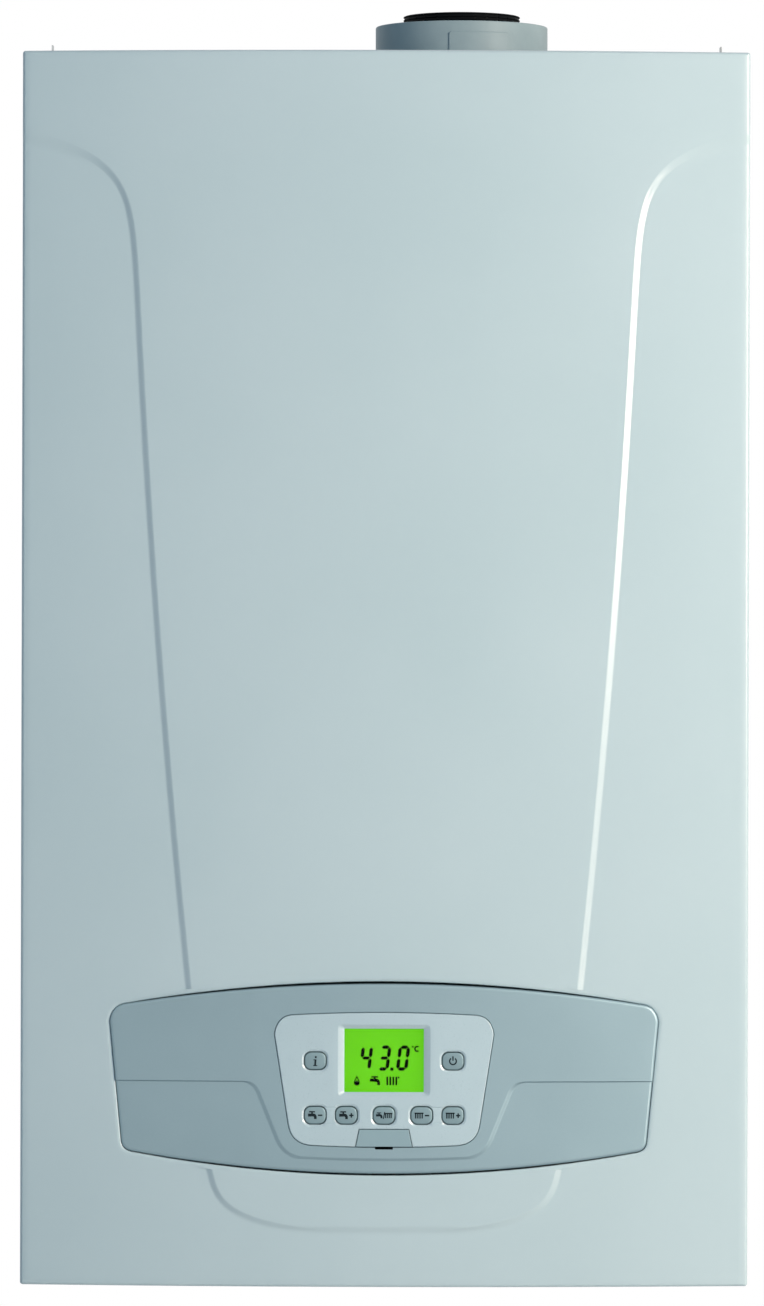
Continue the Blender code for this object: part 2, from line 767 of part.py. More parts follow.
def add_top_panel(steel):
    rail_top = HALF_HEIGHT - RAIL_DROP
    web_y = SPLIT_Y + GAP
    panel = add_object("top_panel", box_mesh(
        (-HALF_WIDTH, web_y, HALF_HEIGHT - SHEET), (HALF_WIDTH, 0.0, HALF_HEIGHT),
    ), steel)
    rail = extruded_profile([
        (web_y, HALF_HEIGHT - SHEET / 2), (web_y, rail_top), (RAIL_FRONT_Y, rail_top),
        (RAIL_FRONT_Y, rail_top - SHEET), (web_y + SHEET, rail_top - SHEET),
        (web_y + SHEET, HALF_HEIGHT - SHEET / 2),
    ], HALF_WIDTH - RAIL_INSET)
    combine(panel, rail, "UNION")
    lugs = bmesh.new()
    for side in (-1, 1):
        x = side * LUG_X
        box_mesh(
            (x - LUG_THICKNESS / 2, LUG_REAR_Y - LUG_DEPTH, rail_top - SHEET / 2),
            (x + LUG_THICKNESS / 2, LUG_REAR_Y, HALF_HEIGHT + LUG_RISE), lugs,
        )
    combine(panel, lugs, "UNION")
    combine(panel, cylinder_mesh(
        "Z", (FLUE_X, FLUE_Y), RING_RADIUS + 0.002, HALF_HEIGHT - 0.01, HALF_HEIGHT + 0.01, SIDES_LARGE,
    ), "DIFFERENCE")


def add_bottom_plate(steel):
    inner_x = HALF_WIDTH - SHEET - GAP
    lip_z = -HALF_HEIGHT + TAB_LIFT + SHEET + LIP_GAP
    flange_y = SPLIT_Y + 0.0015
    outline = [
        (-REAR_SHEET - GAP, BOTTOM_PLATE_Z), (flange_y, BOTTOM_PLATE_Z), (flange_y, lip_z + SHEET),
        (TAB_FRONT_Y, lip_z + SHEET), (TAB_FRONT_Y, lip_z), (flange_y + SHEET, lip_z),
        (flange_y + SHEET, BOTTOM_PLATE_Z - SHEET), (-REAR_SHEET - GAP, BOTTOM_PLATE_Z - SHEET),
    ]
    plate = add_object("bottom_plate", extruded_profile(outline, inner_x), steel)
    holes = bmesh.new()
    for number in range(-2, 3):
        centre = (number * PORT_PITCH, PORT_Y)
        low, high = BOTTOM_PLATE_Z - 2 * SHEET, BOTTOM_PLATE_Z + SHEET
        cylinder_mesh("Z", centre, PORT_RADIUS + PORT_CLEARANCE, low, high, SIDES_SMALL, holes)
    cylinder_mesh(
        "Z", (FILL_X, FILL_Y), FILL_SPINDLE_RADIUS + GAP,
        BOTTOM_PLATE_Z - 2 * SHEET, BOTTOM_PLATE_Z + SHEET, SIDES_TINY, holes,
    )
    for side in (-1, 1):
        cylinder_mesh(
            "Z", (side * SCREW_X, SCREW_Y), SCREW_RADIUS + GAP,
            lip_z - SHEET, lip_z + 2 * SHEET, SIDES_TINY, holes,
        )
    combine(plate, holes, "DIFFERENCE")


def collar_pad(top_z, steps=6):
    """Raised pad that wraps round the front of the flue collar."""
    sweep = COLLAR_PAD_TURN_TO - COLLAR_PAD_TURN_FROM
    turns = [COLLAR_PAD_TURN_FROM + sweep * k / steps for k in range(steps + 1)]
    outline = [(COLLAR_RADIUS + COLLAR_PAD_PROUD, turn) for turn in turns]
    outline += [(COLLAR_RADIUS - COLLAR_PAD_PROUD, turn) for turn in reversed(turns)]
    points = []
    for radius, turn in outline:
        points.append((FLUE_X + radius * math.sin(turn), FLUE_Y - radius * math.cos(turn)))
    mesh_data = bmesh.new()
    low = [mesh_data.verts.new((x, y, top_z - COLLAR_PAD_HEIGHT)) for x, y in points]
    high = [mesh_data.verts.new((x, y, top_z)) for x, y in points]
    mesh_data.faces.new(low)
    mesh_data.faces.new(list(reversed(high)))
    for k in range(len(points)):
        n = (k + 1) % len(points)
        mesh_data.faces.new([low[n], low[k], high[k], high[n]])
    return mesh_data


def add_flue(metal, plastic, rubber):
    centre = (FLUE_X, FLUE_Y)
    base = HALF_HEIGHT + GAP
    top = HALF_HEIGHT + COLLAR_RISE
    inner = RING_RADIUS + GAP
    outer = COLLAR_RADIUS
    profile = [
        (COLLAR_FLANGE_RADIUS, base), (COLLAR_FLANGE_RADIUS, base + COLLAR_FLANGE_THICKNESS),
        (outer, base + COLLAR_FLANGE_THICKNESS), (outer, top - 0.002), (outer - 0.002, top),
        (inner, top), (inner, base),
    ]
    collar = add_object(
        "flue_collar", turned_mesh(profile, "Z", centre, SIDES_LARGE, True), metal, smooth_angle=35,
    )
    combine(collar, collar_pad(top - COLLAR_PAD_DROP), "UNION")
    duct_outer = FLUE_RADIUS + FLUE_WALL
    ring_low = top - RING_DEPTH
    ring_top = top + RING_RISE
    groove = RING_RADIUS - 0.001
    ring = [(RING_RADIUS, ring_low), (RING_RADIUS, top + RING_RISE * 0.3), (groove, top + RING_RISE * 0.4)]
    ring += [(RING_RADIUS, top + RING_RISE * 0.5), (RING_RADIUS, top + RING_RISE * 0.8), (groove, ring_top)]
    ring += [(duct_outer + GAP, ring_top), (duct_outer + GAP, ring_low)]
    add_object("flue_seal_ring", turned_mesh(ring, "Z", centre, SIDES_LARGE, True), rubber, smooth_angle=35)
    add_object("flue_duct", ring_mesh(
        "Z", centre, duct_outer, FLUE_RADIUS, SPIGOT_TOP_Z + GAP, ring_top - 0.002, SIDES_LARGE,
    ), plastic, smooth_angle=35)


def add_heat_exchanger(alloy, steel, white, ceramic):
    centre = (DRUM_X, DRUM_Z)
    front = DRUM_REAR_Y - DRUM_LENGTH
    bore = DRUM_RADIUS - DRUM_WALL
    shell = cylinder_mesh("Y", centre, DRUM_RADIUS, front, DRUM_REAR_Y, SIDES_LARGE)
    drum = add_object("heat_exchanger", shell, alloy, smooth_angle=35)
    inner_x = HALF_WIDTH - SHEET - GAP
    bar = box_mesh(
        (-inner_x, DRUM_REAR_Y - DRUM_BAR_THICKNESS, DRUM_Z - DRUM_BAR_HEIGHT / 2),
        (inner_x, DRUM_REAR_Y + GAP, DRUM_Z + DRUM_BAR_HEIGHT / 2),
    )
    combine(drum, bar, "UNION")
    spigot = cylinder_mesh("Z", (FLUE_X, FLUE_Y), FLUE_RADIUS + FLUE_WALL, DRUM_Z, SPIGOT_TOP_Z, SIDES)
    combine(drum, spigot, "UNION")
    hollow = cylinder_mesh("Y", centre, bore, front - 0.01, DRUM_REAR_Y - DRUM_WALL, SIDES_LARGE)
    combine(drum, hollow, "DIFFERENCE")

    door_back = front - GAP
    door_front = door_back - DOOR_THICKNESS
    disc = cylinder_mesh("Y", centre, DOOR_RADIUS, door_front, door_back, SIDES_LARGE)
    door = add_object("burner_door", disc, alloy, smooth_angle=35)
    leg_right = FAN_X - NECK_HALF / 2 + NECK_HALF
    leg_left = leg_right - 2 * NECK_HALF
    duct_front = door_front - 0.014
    combine(door, box_mesh(
        (DRUM_X, duct_front, DRUM_Z - 0.025), (leg_right, door_front + 0.002, DRUM_Z + 0.025),
    ), "UNION")
    combine(door, box_mesh(
        (leg_left, duct_front + 0.001, NECK_TOP_Z + GAP),
        (leg_right - 0.001, FAN_FRONT_Y + 0.035, DRUM_Z + 0.024),
    ), "UNION")
    holes = bmesh.new()
    for side in (-1, 1):
        spot = (DRUM_X + side * ELECTRODE_OFFSET, DRUM_Z - ELECTRODE_OFFSET)
        cylinder_mesh(
            "Y", spot, ELECTRODE_RADIUS + GAP, door_front - 0.002, door_back + 0.002, SIDES_SMALL, holes,
        )
    combine(door, holes, "DIFFERENCE")
    for name, side in (("sensing_electrode", -1), ("ignition_electrode", 1)):
        spot = (DRUM_X + side * ELECTRODE_OFFSET, DRUM_Z - ELECTRODE_OFFSET)
        head = door_front - GAP
        profile = [
            (0.0, head - ELECTRODE_HEAD_LENGTH), (0.003, head - ELECTRODE_HEAD_LENGTH),
            (0.003, head - 0.010), (ELECTRODE_HEAD_RADIUS, head - 0.008), (ELECTRODE_HEAD_RADIUS, head),
            (ELECTRODE_RADIUS, head), (ELECTRODE_RADIUS, door_back + 0.006), (0.0015, door_back + 0.006),
            (0.0015, door_back + ELECTRODE_TIP_LENGTH), (0.0, door_back + ELECTRODE_TIP_LENGTH),
        ]
        add_object(name, turned_mesh(profile, "Y", spot, SIDES_TINY), ceramic, smooth_angle=40)
    start = door_back + GAP
    end = start + BURNER_LENGTH
    wall = BURNER_RADIUS - BURNER_WALL
    profile = [
        (BURNER_RADIUS + 0.006, start), (BURNER_RADIUS + 0.006, start + 0.002),
        (BURNER_RADIUS, start + 0.002),
        (BURNER_RADIUS, end), (0.0, end), (0.0, end - BURNER_WALL), (wall, end - BURNER_WALL), (wall, start),
    ]
    burner = bmesh.new()
    turned_mesh(profile[:5], "Y", centre, SIDES, False, burner)
    turned_mesh(profile[5:], "Y", centre, SIDES, False, burner)
    bmesh.ops.remove_doubles(burner, verts=burner.verts, dist=1e-7)
    edges = [edge for edge in burner.edges if edge.is_boundary]
    bmesh.ops.bridge_loops(burner, edges=edges)
    add_object("burner_tube", burner, steel, smooth_angle=40)

    vessel_back = -REAR_SHEET - GAP
    vessel_front = vessel_back - VESSEL_DEPTH
    middle = (vessel_back + vessel_front) / 2
    profile = [
        (0.0, vessel_front), (VESSEL_RADIUS - 0.020, vessel_front),
        (VESSEL_RADIUS - 0.006, vessel_front + 0.006),
        (VESSEL_RADIUS - 0.002, vessel_front + 0.018), (VESSEL_RADIUS - 0.002, middle - 0.004),
        (VESSEL_RADIUS, middle - 0.004), (VESSEL_RADIUS, middle + 0.004),
        (VESSEL_RADIUS - 0.002, middle + 0.004),
        (VESSEL_RADIUS - 0.002, vessel_back - 0.018), (VESSEL_RADIUS - 0.006, vessel_back - 0.006),
        (VESSEL_RADIUS - 0.020, vessel_back), (0.0, vessel_back),
    ]
    shell = turned_mesh(profile, "Y", (VESSEL_X, VESSEL_Z), SIDES_LARGE)
    add_object("expansion_vessel", shell, white, smooth_angle=35)


def blade_rotor(axis, centre, outer, hub, start, end, count, sweep, thickness, shaft_radius, shaft_end):
    """Bladed wheel with a hub, a back disc and a shaft, drawn as one closed mesh."""
    parts = []
    disc_end = end - (end - start) * 0.12
    base = turned_mesh([
        (0.0, start), (hub, start), (hub, disc_end), (outer, disc_end), (outer, end),
        (shaft_radius, end), (shaft_radius, shaft_end), (0.0, shaft_end),
    ], axis, centre, SIDES)
    for k in range(count):
        angle = math.tau * k / count
        blade = bmesh.new()
        loops = []
        for share in (0.0, 0.5, 1.0):
            radius = hub - 0.002 + (outer - 0.001 - hub + 0.002) * share
            turn = angle + sweep * share
            half = thickness / 2 / radius
            loops.append([
                blade.verts.new(axis_point(axis, centre, radius, turn + half * s, along))
                for s, along in ((-1, start), (1, start), (1, disc_end + 0.001), (-1, disc_end + 0.001))
            ])
        for first, second in zip(loops, loops[1:]):
            for j in range(4):
                n = (j + 1) % 4
                blade.faces.new([first[j], first[n], second[n], second[j]])
        blade.faces.new(loops[0])
        blade.faces.new(loops[-1])
        parts.append(blade)
    return base, parts


def merge_meshes(parts):
    """One mesh of several separate closed bodies."""
    whole = bmesh.new()
    for part in parts:
        bmesh.ops.recalc_face_normals(part, faces=part.faces)
        mesh = bpy.data.meshes.new("blades")
        part.to_mesh(mesh)
        part.free()
        whole.from_mesh(mesh)
        bpy.data.meshes.remove(mesh)
    return whole


def add_fan(metal, black, plastic, brass):
    centre = (FAN_X, FAN_Z)
    rear = FAN_FRONT_Y + FAN_WIDTH
    shell = cylinder_mesh("Y", centre, FAN_RADIUS, FAN_FRONT_Y, rear, SIDES_LARGE)
    housing = add_object("fan_housing", shell, metal, smooth_angle=35)
    neck_left = FAN_X + NECK_HALF / 2 - 2 * NECK_HALF
    combine(housing, box_mesh(
        (neck_left, FAN_FRONT_Y, FAN_Z + 0.02), (neck_left + 2 * NECK_HALF, rear - 0.005, NECK_TOP_Z),
    ), "UNION")
    hollow = cylinder_mesh(
        "Y", centre, FAN_RADIUS - FAN_WALL, FAN_FRONT_Y + FAN_WALL, rear - FAN_WALL, SIDES_LARGE,
    )
    combine(housing, hollow, "DIFFERENCE")
    ways = cylinder_mesh("Y", centre, FAN_INLET_RADIUS, FAN_FRONT_Y - 0.005, FAN_FRONT_Y + 0.01, SIDES)
    cylinder_mesh("Y", centre, FAN_SHAFT_RADIUS + 2 * GAP, rear - 0.01, rear + 0.005, SIDES_SMALL, ways)
    box_mesh(
        (neck_left + FAN_WALL, FAN_FRONT_Y + FAN_WALL, FAN_Z + 0.04),
        (neck_left + 2 * NECK_HALF - FAN_WALL, rear - 0.005 - FAN_WALL, NECK_TOP_Z + 0.01), ways,
    )
    combine(housing, ways, "DIFFERENCE")

    middle = FAN_FRONT_Y + FAN_WIDTH / 2
    base, blades = blade_rotor(
        "Y", centre, IMPELLER_RADIUS, IMPELLER_HUB_RADIUS,
        middle - IMPELLER_WIDTH / 2, middle + IMPELLER_WIDTH / 2,
        FAN_BLADES, 0.5, 0.0016, FAN_SHAFT_RADIUS, rear - GAP,
    )
    impeller = add_object("fan_impeller", base, black, origin=(FAN_X, middle, FAN_Z), smooth_angle=35)
    combine(impeller, merge_meshes(blades), "UNION")
    add_object("fan_motor", turned_mesh([
        (0.0, rear + GAP), (FAN_MOTOR_RADIUS + 0.006, rear + GAP), (FAN_MOTOR_RADIUS + 0.006, rear + 0.004),
        (FAN_MOTOR_RADIUS, rear + 0.004), (FAN_MOTOR_RADIUS, rear + FAN_MOTOR_LENGTH - 0.006),
        (FAN_MOTOR_RADIUS - 0.006, rear + FAN_MOTOR_LENGTH), (0.0, rear + FAN_MOTOR_LENGTH),
    ], "Y", centre, SIDES), black, smooth_angle=35)

    mixer_rear = FAN_FRONT_Y - GAP
    mixer_front = mixer_rear - MIXER_LENGTH
    mixer = add_object("gas_air_mixer", ring_mesh(
        "Y", centre, MIXER_RADIUS, FAN_INLET_RADIUS, mixer_front, mixer_rear, SIDES,
    ), plastic, smooth_angle=35)
    port_y = (mixer_front + mixer_rear) / 2
    port = cylinder_mesh(
        "Z", (FAN_X, port_y), MIXER_PORT_RADIUS,
        GAS_VALVE_TOP_Z + GAP, FAN_Z - FAN_INLET_RADIUS - 0.002, SIDES_SMALL,
    )
    combine(mixer, port, "UNION")
    silencer_right = FAN_X - MIXER_RADIUS - GAP
    add_object("air_silencer", rounded_bar(
        (silencer_right - SILENCER_LENGTH, mixer_front + GAP, FAN_Z - SILENCER_HEIGHT / 2),
        (silencer_right, mixer_front + GAP + SILENCER_DEPTH - 2 * GAP, FAN_Z + SILENCER_HEIGHT / 2), 0.012,
    ), black, smooth_angle=35)

    low = GAS_VALVE_TOP_Z - GAS_VALVE_HEIGHT
    valve = add_object("gas_valve", box_mesh(
        (FAN_X - GAS_VALVE_HALF, GAS_VALVE_FRONT_Y, low),
        (FAN_X + GAS_VALVE_HALF, GAS_VALVE_FRONT_Y + GAS_VALVE_DEPTH, GAS_VALVE_TOP_Z),
    ), brass, smooth_angle=35)
    for side in (-1, 1):
        coil = (FAN_X + side * GAS_VALVE_HALF / 2, GAS_VALVE_TOP_Z - GAS_VALVE_HEIGHT * 0.36)
        combine(valve, cylinder_mesh(
            "Y", coil, 0.013, GAS_VALVE_FRONT_Y - 0.014, GAS_VALVE_FRONT_Y + 0.004, SIDES_SMALL,
        ), "UNION")


def rounded_bar(low, high, corner):
    """Box along X with rounded long edges."""
    outline = rounded_rectangle(
        high[1] - low[1], high[2] - low[2], corner, ((low[1] + high[1]) / 2, (low[2] + high[2]) / 2),
    )
    mesh_data = bmesh.new()
    left = [mesh_data.verts.new((low[0], y, z)) for y, z in outline]
    right = [mesh_data.verts.new((high[0], y, z)) for y, z in outline]
    mesh_data.faces.new(left)
    mesh_data.faces.new(list(reversed(right)))
    for k in range(len(outline)):
        n = (k + 1) % len(outline)
        mesh_data.faces.new([left[n], left[k], right[k], right[n]])
    return mesh_data


def add_hydraulics(brass, steel, black, grey, red, copper, rubber):
    floor = BOTTOM_PLATE_Z + GAP
    manifold_rear = MANIFOLD_FRONT_Y + MANIFOLD_DEPTH
    for name, side in (("flow_manifold", -1), ("return_manifold", 1)):
        xs = sorted((side * MANIFOLD_INNER_X, side * (MANIFOLD_INNER_X + MANIFOLD_LENGTH)))
        block = add_object(name, box_mesh(
            (xs[0], MANIFOLD_FRONT_Y, floor), (xs[1], manifold_rear, MANIFOLD_TOP_Z),
        ), brass)
        if side < 0:
            combine(block, cylinder_mesh(
                "Z", (DIVERTER_X, DIVERTER_Y), STEM_BORE_RADIUS, MANIFOLD_TOP_Z - STEM_BORE_DEPTH,
                MANIFOLD_TOP_Z + 0.01, SIDES,
            ), "DIFFERENCE")
    inner = MANIFOLD_INNER_X - GAP
    rear = PLATE_STACK_REAR_Y
    stack_low = PLATE_STACK_TOP_Z - PLATE_STACK_HEIGHT
    add_object("plate_heat_exchanger", rounded_bar(
        (-inner, rear - PLATE_STACK_DEPTH, stack_low), (inner, rear, PLATE_STACK_TOP_Z), 0.010,
    ), steel, smooth_angle=35)

    stem_top = MANIFOLD_TOP_Z - GAP
    stem_low = stem_top - STEM_LENGTH
    profile = [
        (0.0, stem_low), (STEM_PLUG_RADIUS, stem_low), (STEM_PLUG_RADIUS, stem_low + 0.008),
        (0.004, stem_low + 0.010),
        (0.004, stem_top - 0.016), (STEM_PLUG_RADIUS, stem_top - 0.014), (STEM_PLUG_RADIUS, stem_top - 0.010),
        (0.004, stem_top - 0.008), (0.004, stem_top), (0.0, stem_top),
    ]
    add_object("diverter_valve_stem", turned_mesh(profile, "Z", (DIVERTER_X, DIVERTER_Y), SIDES_SMALL), steel,
               origin=(DIVERTER_X, DIVERTER_Y, stem_top), smooth_angle=40)
    motor_low = MANIFOLD_TOP_Z + GAP
    add_object("diverter_valve_motor", turned_mesh([
        (0.0, motor_low), (DIVERTER_HALF, motor_low), (DIVERTER_HALF, motor_low + DIVERTER_HEIGHT - 0.004),
        (DIVERTER_HALF - 0.004, motor_low + DIVERTER_HEIGHT), (0.0, motor_low + DIVERTER_HEIGHT),
    ], "Z", (DIVERTER_X, DIVERTER_Y), SIDES), black, smooth_angle=35)

    centre = (PUMP_X, PUMP_Z)
    pump_rear = MANIFOLD_FRONT_Y - GAP
    pump_front = pump_rear - PUMP_LENGTH
    shell = cylinder_mesh("Y", centre, PUMP_RADIUS, pump_front, pump_rear, SIDES)
    housing = add_object("pump_housing", shell, grey, smooth_angle=35)
    combine(housing, cylinder_mesh(
        "Y", centre, PUMP_RADIUS - PUMP_WALL, pump_front - 0.01, pump_rear - PUMP_WALL, SIDES,
    ), "DIFFERENCE")
    start = pump_front + 0.012
    base, blades = blade_rotor(
        "Y", centre, PUMP_IMPELLER_RADIUS, 0.011, start + PUMP_IMPELLER_WIDTH, start,
        PUMP_BLADES, 0.9, 0.002, PUMP_SHAFT_RADIUS, pump_front + GAP,
    )
    impeller = add_object("pump_impeller", base, black, origin=(PUMP_X, start, PUMP_Z), smooth_angle=35)
    combine(impeller, merge_meshes(blades), "UNION")
    motor_rear = pump_front - GAP
    add_object("pump_motor", turned_mesh([
        (0.0, motor_rear - PUMP_MOTOR_LENGTH), (PUMP_MOTOR_RADIUS - 0.010, motor_rear - PUMP_MOTOR_LENGTH),
        (PUMP_MOTOR_RADIUS, motor_rear - PUMP_MOTOR_LENGTH + 0.010), (PUMP_MOTOR_RADIUS, motor_rear - 0.008),
        (PUMP_RADIUS, motor_rear - 0.006), (PUMP_RADIUS, motor_rear), (0.0, motor_rear),
    ], "Y", centre, SIDES), black, smooth_angle=35)
    vent_low = PUMP_Z + PUMP_RADIUS + GAP
    add_object("air_vent", turned_mesh([
        (0.0, vent_low), (VENT_RADIUS * 0.6, vent_low), (VENT_RADIUS * 0.6, vent_low + 0.008),
        (VENT_RADIUS, vent_low + 0.010), (VENT_RADIUS, vent_low + VENT_HEIGHT - 0.010),
        (VENT_RADIUS * 0.5, vent_low + VENT_HEIGHT - 0.008), (VENT_RADIUS * 0.5, vent_low + VENT_HEIGHT),
        (0.0, vent_low + VENT_HEIGHT),
    ], "Z", (PUMP_X, (pump_front + pump_rear) / 2), SIDES_SMALL), brass, smooth_angle=35)

    spot = (SAFETY_X, SAFETY_Z)
    seat = MANIFOLD_FRONT_Y - GAP
    add_object("safety_valve", turned_mesh([
        (0.0, seat - SAFETY_LENGTH), (SAFETY_RADIUS * 0.6, seat - SAFETY_LENGTH),
        (SAFETY_RADIUS, seat - SAFETY_LENGTH + 0.006), (SAFETY_RADIUS, seat - 0.008),
        (SAFETY_RADIUS * 0.75, seat - 0.006), (SAFETY_RADIUS * 0.75, seat), (0.0, seat),
    ], "Y", spot, SIDES_SMALL), brass, smooth_angle=35)
    knob_rear = seat - SAFETY_LENGTH - GAP
    knob_outline = [
        (spot[0] + (SAFETY_KNOB_RADIUS - (0.0018 if k % 2 else 0.0)) * math.cos(math.tau * k / 16),
         spot[1] + (SAFETY_KNOB_RADIUS - (0.0018 if k % 2 else 0.0)) * math.sin(math.tau * k / 16))
        for k in range(16)
    ]
    add_object("safety_valve_knob", prism_mesh(knob_outline, knob_rear - SAFETY_KNOB_LENGTH, knob_rear), red,
               origin=(spot[0], knob_rear, spot[1]))

    spindle_top = BOTTOM_PLATE_Z
    knob_top = BOTTOM_PLATE_Z - SHEET - GAP
    knob_low = knob_top - FILL_KNOB_LENGTH
    add_object("filling_tap_knob", turned_mesh([
        (0.0, knob_low), (FILL_KNOB_RADIUS - 0.002, knob_low), (FILL_KNOB_RADIUS, knob_low + 0.002),
        (FILL_KNOB_RADIUS, knob_top - 0.004), (FILL_KNOB_RADIUS - 0.003, knob_top),
        (FILL_SPINDLE_RADIUS, knob_top), (FILL_SPINDLE_RADIUS, spindle_top), (0.0, spindle_top),
    ], "Z", (FILL_X, FILL_Y), SIDES_TINY), black, origin=(FILL_X, FILL_Y, spindle_top), smooth_angle=20)

    trap_pipe_top = drum_underside(TRAP_X, TRAP_PIPE_RADIUS)
    add_object("condensate_trap", turned_mesh([
        (0.0, floor), (TRAP_RADIUS, floor), (TRAP_RADIUS, TRAP_TOP_Z - 0.012),
        (TRAP_RADIUS + 0.003, TRAP_TOP_Z - 0.012),
        (TRAP_RADIUS + 0.003, TRAP_TOP_Z), (TRAP_PIPE_RADIUS, TRAP_TOP_Z + 0.006),
        (TRAP_PIPE_RADIUS, trap_pipe_top), (0.0, trap_pipe_top),
    ], "Z", (TRAP_X, TRAP_Y), SIDES_SMALL), grey, smooth_angle=35)

    landing = MANIFOLD_TOP_Z + GAP
    add_water_pipes(landing, copper, rubber)


def drum_underside(x, radius):
    """Height just under the drum for a pipe of one radius that rises at x."""
    near = abs(x - DRUM_X) - radius
    return DRUM_Z - math.sqrt(DRUM_RADIUS ** 2 - near ** 2) - GAP


def add_water_pipes(landing, copper, rubber):
    flow_x, flow_y = DRUM_X - 0.090, -0.125
    top = drum_underside(flow_x, WATER_PIPE_RADIUS)
    end_x = -MANIFOLD_INNER_X - MANIFOLD_LENGTH + 0.022
    add_tube("flow_pipe", [
        (flow_x, flow_y, top), (flow_x, flow_y, top - 0.020), (flow_x - 0.004, flow_y + 0.003, top - 0.045),
        (end_x + 0.006, DIVERTER_Y - 0.006, top - 0.095), (end_x, DIVERTER_Y, top - 0.130),
        (end_x, DIVERTER_Y, landing + 0.030), (end_x, DIVERTER_Y, landing),
    ], WATER_PIPE_RADIUS, copper)
    return_x, return_y = DRUM_X + 0.075, -0.125
    top = drum_underside(return_x, WATER_PIPE_RADIUS)
    end_x = MANIFOLD_INNER_X + MANIFOLD_LENGTH - 0.022
    end_y = MANIFOLD_FRONT_Y + 0.030
    add_tube("return_pipe", [
        (return_x, return_y, top), (return_x, return_y, top - 0.030),
        (return_x + 0.006, return_y + 0.003, top - 0.060),
        (return_x + 0.060, return_y + 0.015, top - 0.115), (end_x - 0.030, end_y - 0.006, top - 0.160),
        (end_x, end_y, top - 0.205), (end_x, end_y, landing + 0.030), (end_x, end_y, landing),
    ], WATER_PIPE_RADIUS, copper)
    hose_y = -REAR_SHEET - GAP - VESSEL_DEPTH / 2
    hose_top = VESSEL_Z - VESSEL_RADIUS - GAP
    hose_x = MANIFOLD_INNER_X + 0.022
    add_tube("expansion_hose", [
        (VESSEL_X, hose_y, hose_top), (VESSEL_X, hose_y, hose_top - 0.020),
        (VESSEL_X + 0.010, hose_y, hose_top - 0.055),
        (VESSEL_X + 0.070, hose_y - 0.012, hose_top - 0.110),
        (hose_x - 0.008, hose_y - 0.030, hose_top - 0.170),
        (hose_x, hose_y - 0.034, landing + 0.022), (hose_x, hose_y - 0.034, landing),
    ], HOSE_RADIUS, rubber)
    gas_y = GAS_VALVE_FRONT_Y + GAS_VALVE_DEPTH * 0.6
    gas_top = GAS_VALVE_TOP_Z - GAS_VALVE_HEIGHT - GAP
    port_top = GAS_PORT_TOP_Z + GAP
    add_tube("gas_pipe", [
        (0.0, PORT_Y, port_top), (0.0, PORT_Y - 0.0002, port_top + 0.010),
        (0.0, PORT_Y - 0.012, port_top + 0.0195),
        (0.0, PORT_Y - 0.050, port_top + 0.021), (0.0, gas_y + 0.024, port_top + 0.026),
        (0.0, gas_y + 0.002, port_top + 0.046), (0.0, gas_y, port_top + 0.090),
        (0.012, gas_y, port_top + 0.125), (FAN_X - 0.035, gas_y, port_top + 0.150),
        (FAN_X - 0.004, gas_y, port_top + 0.172),
        (FAN_X, gas_y, gas_top - 0.012), (FAN_X, gas_y, gas_top),
    ], WATER_PIPE_RADIUS * 0.85, copper)


def add_ports(brass):
    names = (
        "heating_flow_connector", "hot_water_connector", "gas_connector",
        "cold_water_connector", "heating_return_connector",
    )
    manifold_floor = BOTTOM_PLATE_Z
    stack_floor = PLATE_STACK_TOP_Z - PLATE_STACK_HEIGHT - GAP
    tops = (manifold_floor, stack_floor, GAS_PORT_TOP_Z, stack_floor, manifold_floor)
    collar_top = BOTTOM_PLATE_Z - SHEET - GAP
    for number, (name, top) in enumerate(zip(names, tops)):
        profile = [
            (0.0, top), (PORT_RADIUS, top), (PORT_RADIUS, collar_top), (PORT_COLLAR_RADIUS, collar_top),
            (PORT_COLLAR_RADIUS, collar_top - PORT_COLLAR_HEIGHT),
            (PORT_RADIUS, collar_top - PORT_COLLAR_HEIGHT),
            (PORT_RADIUS, PORT_END_Z), (PORT_BORE_RADIUS, PORT_END_Z), (PORT_BORE_RADIUS, collar_top - 0.002),
            (0.0, collar_top - 0.002),
        ]
        shell = turned_mesh(profile, "Z", ((number - 2) * PORT_PITCH, PORT_Y), SIDES_SMALL)
        add_object(name, shell, brass, smooth_angle=35)


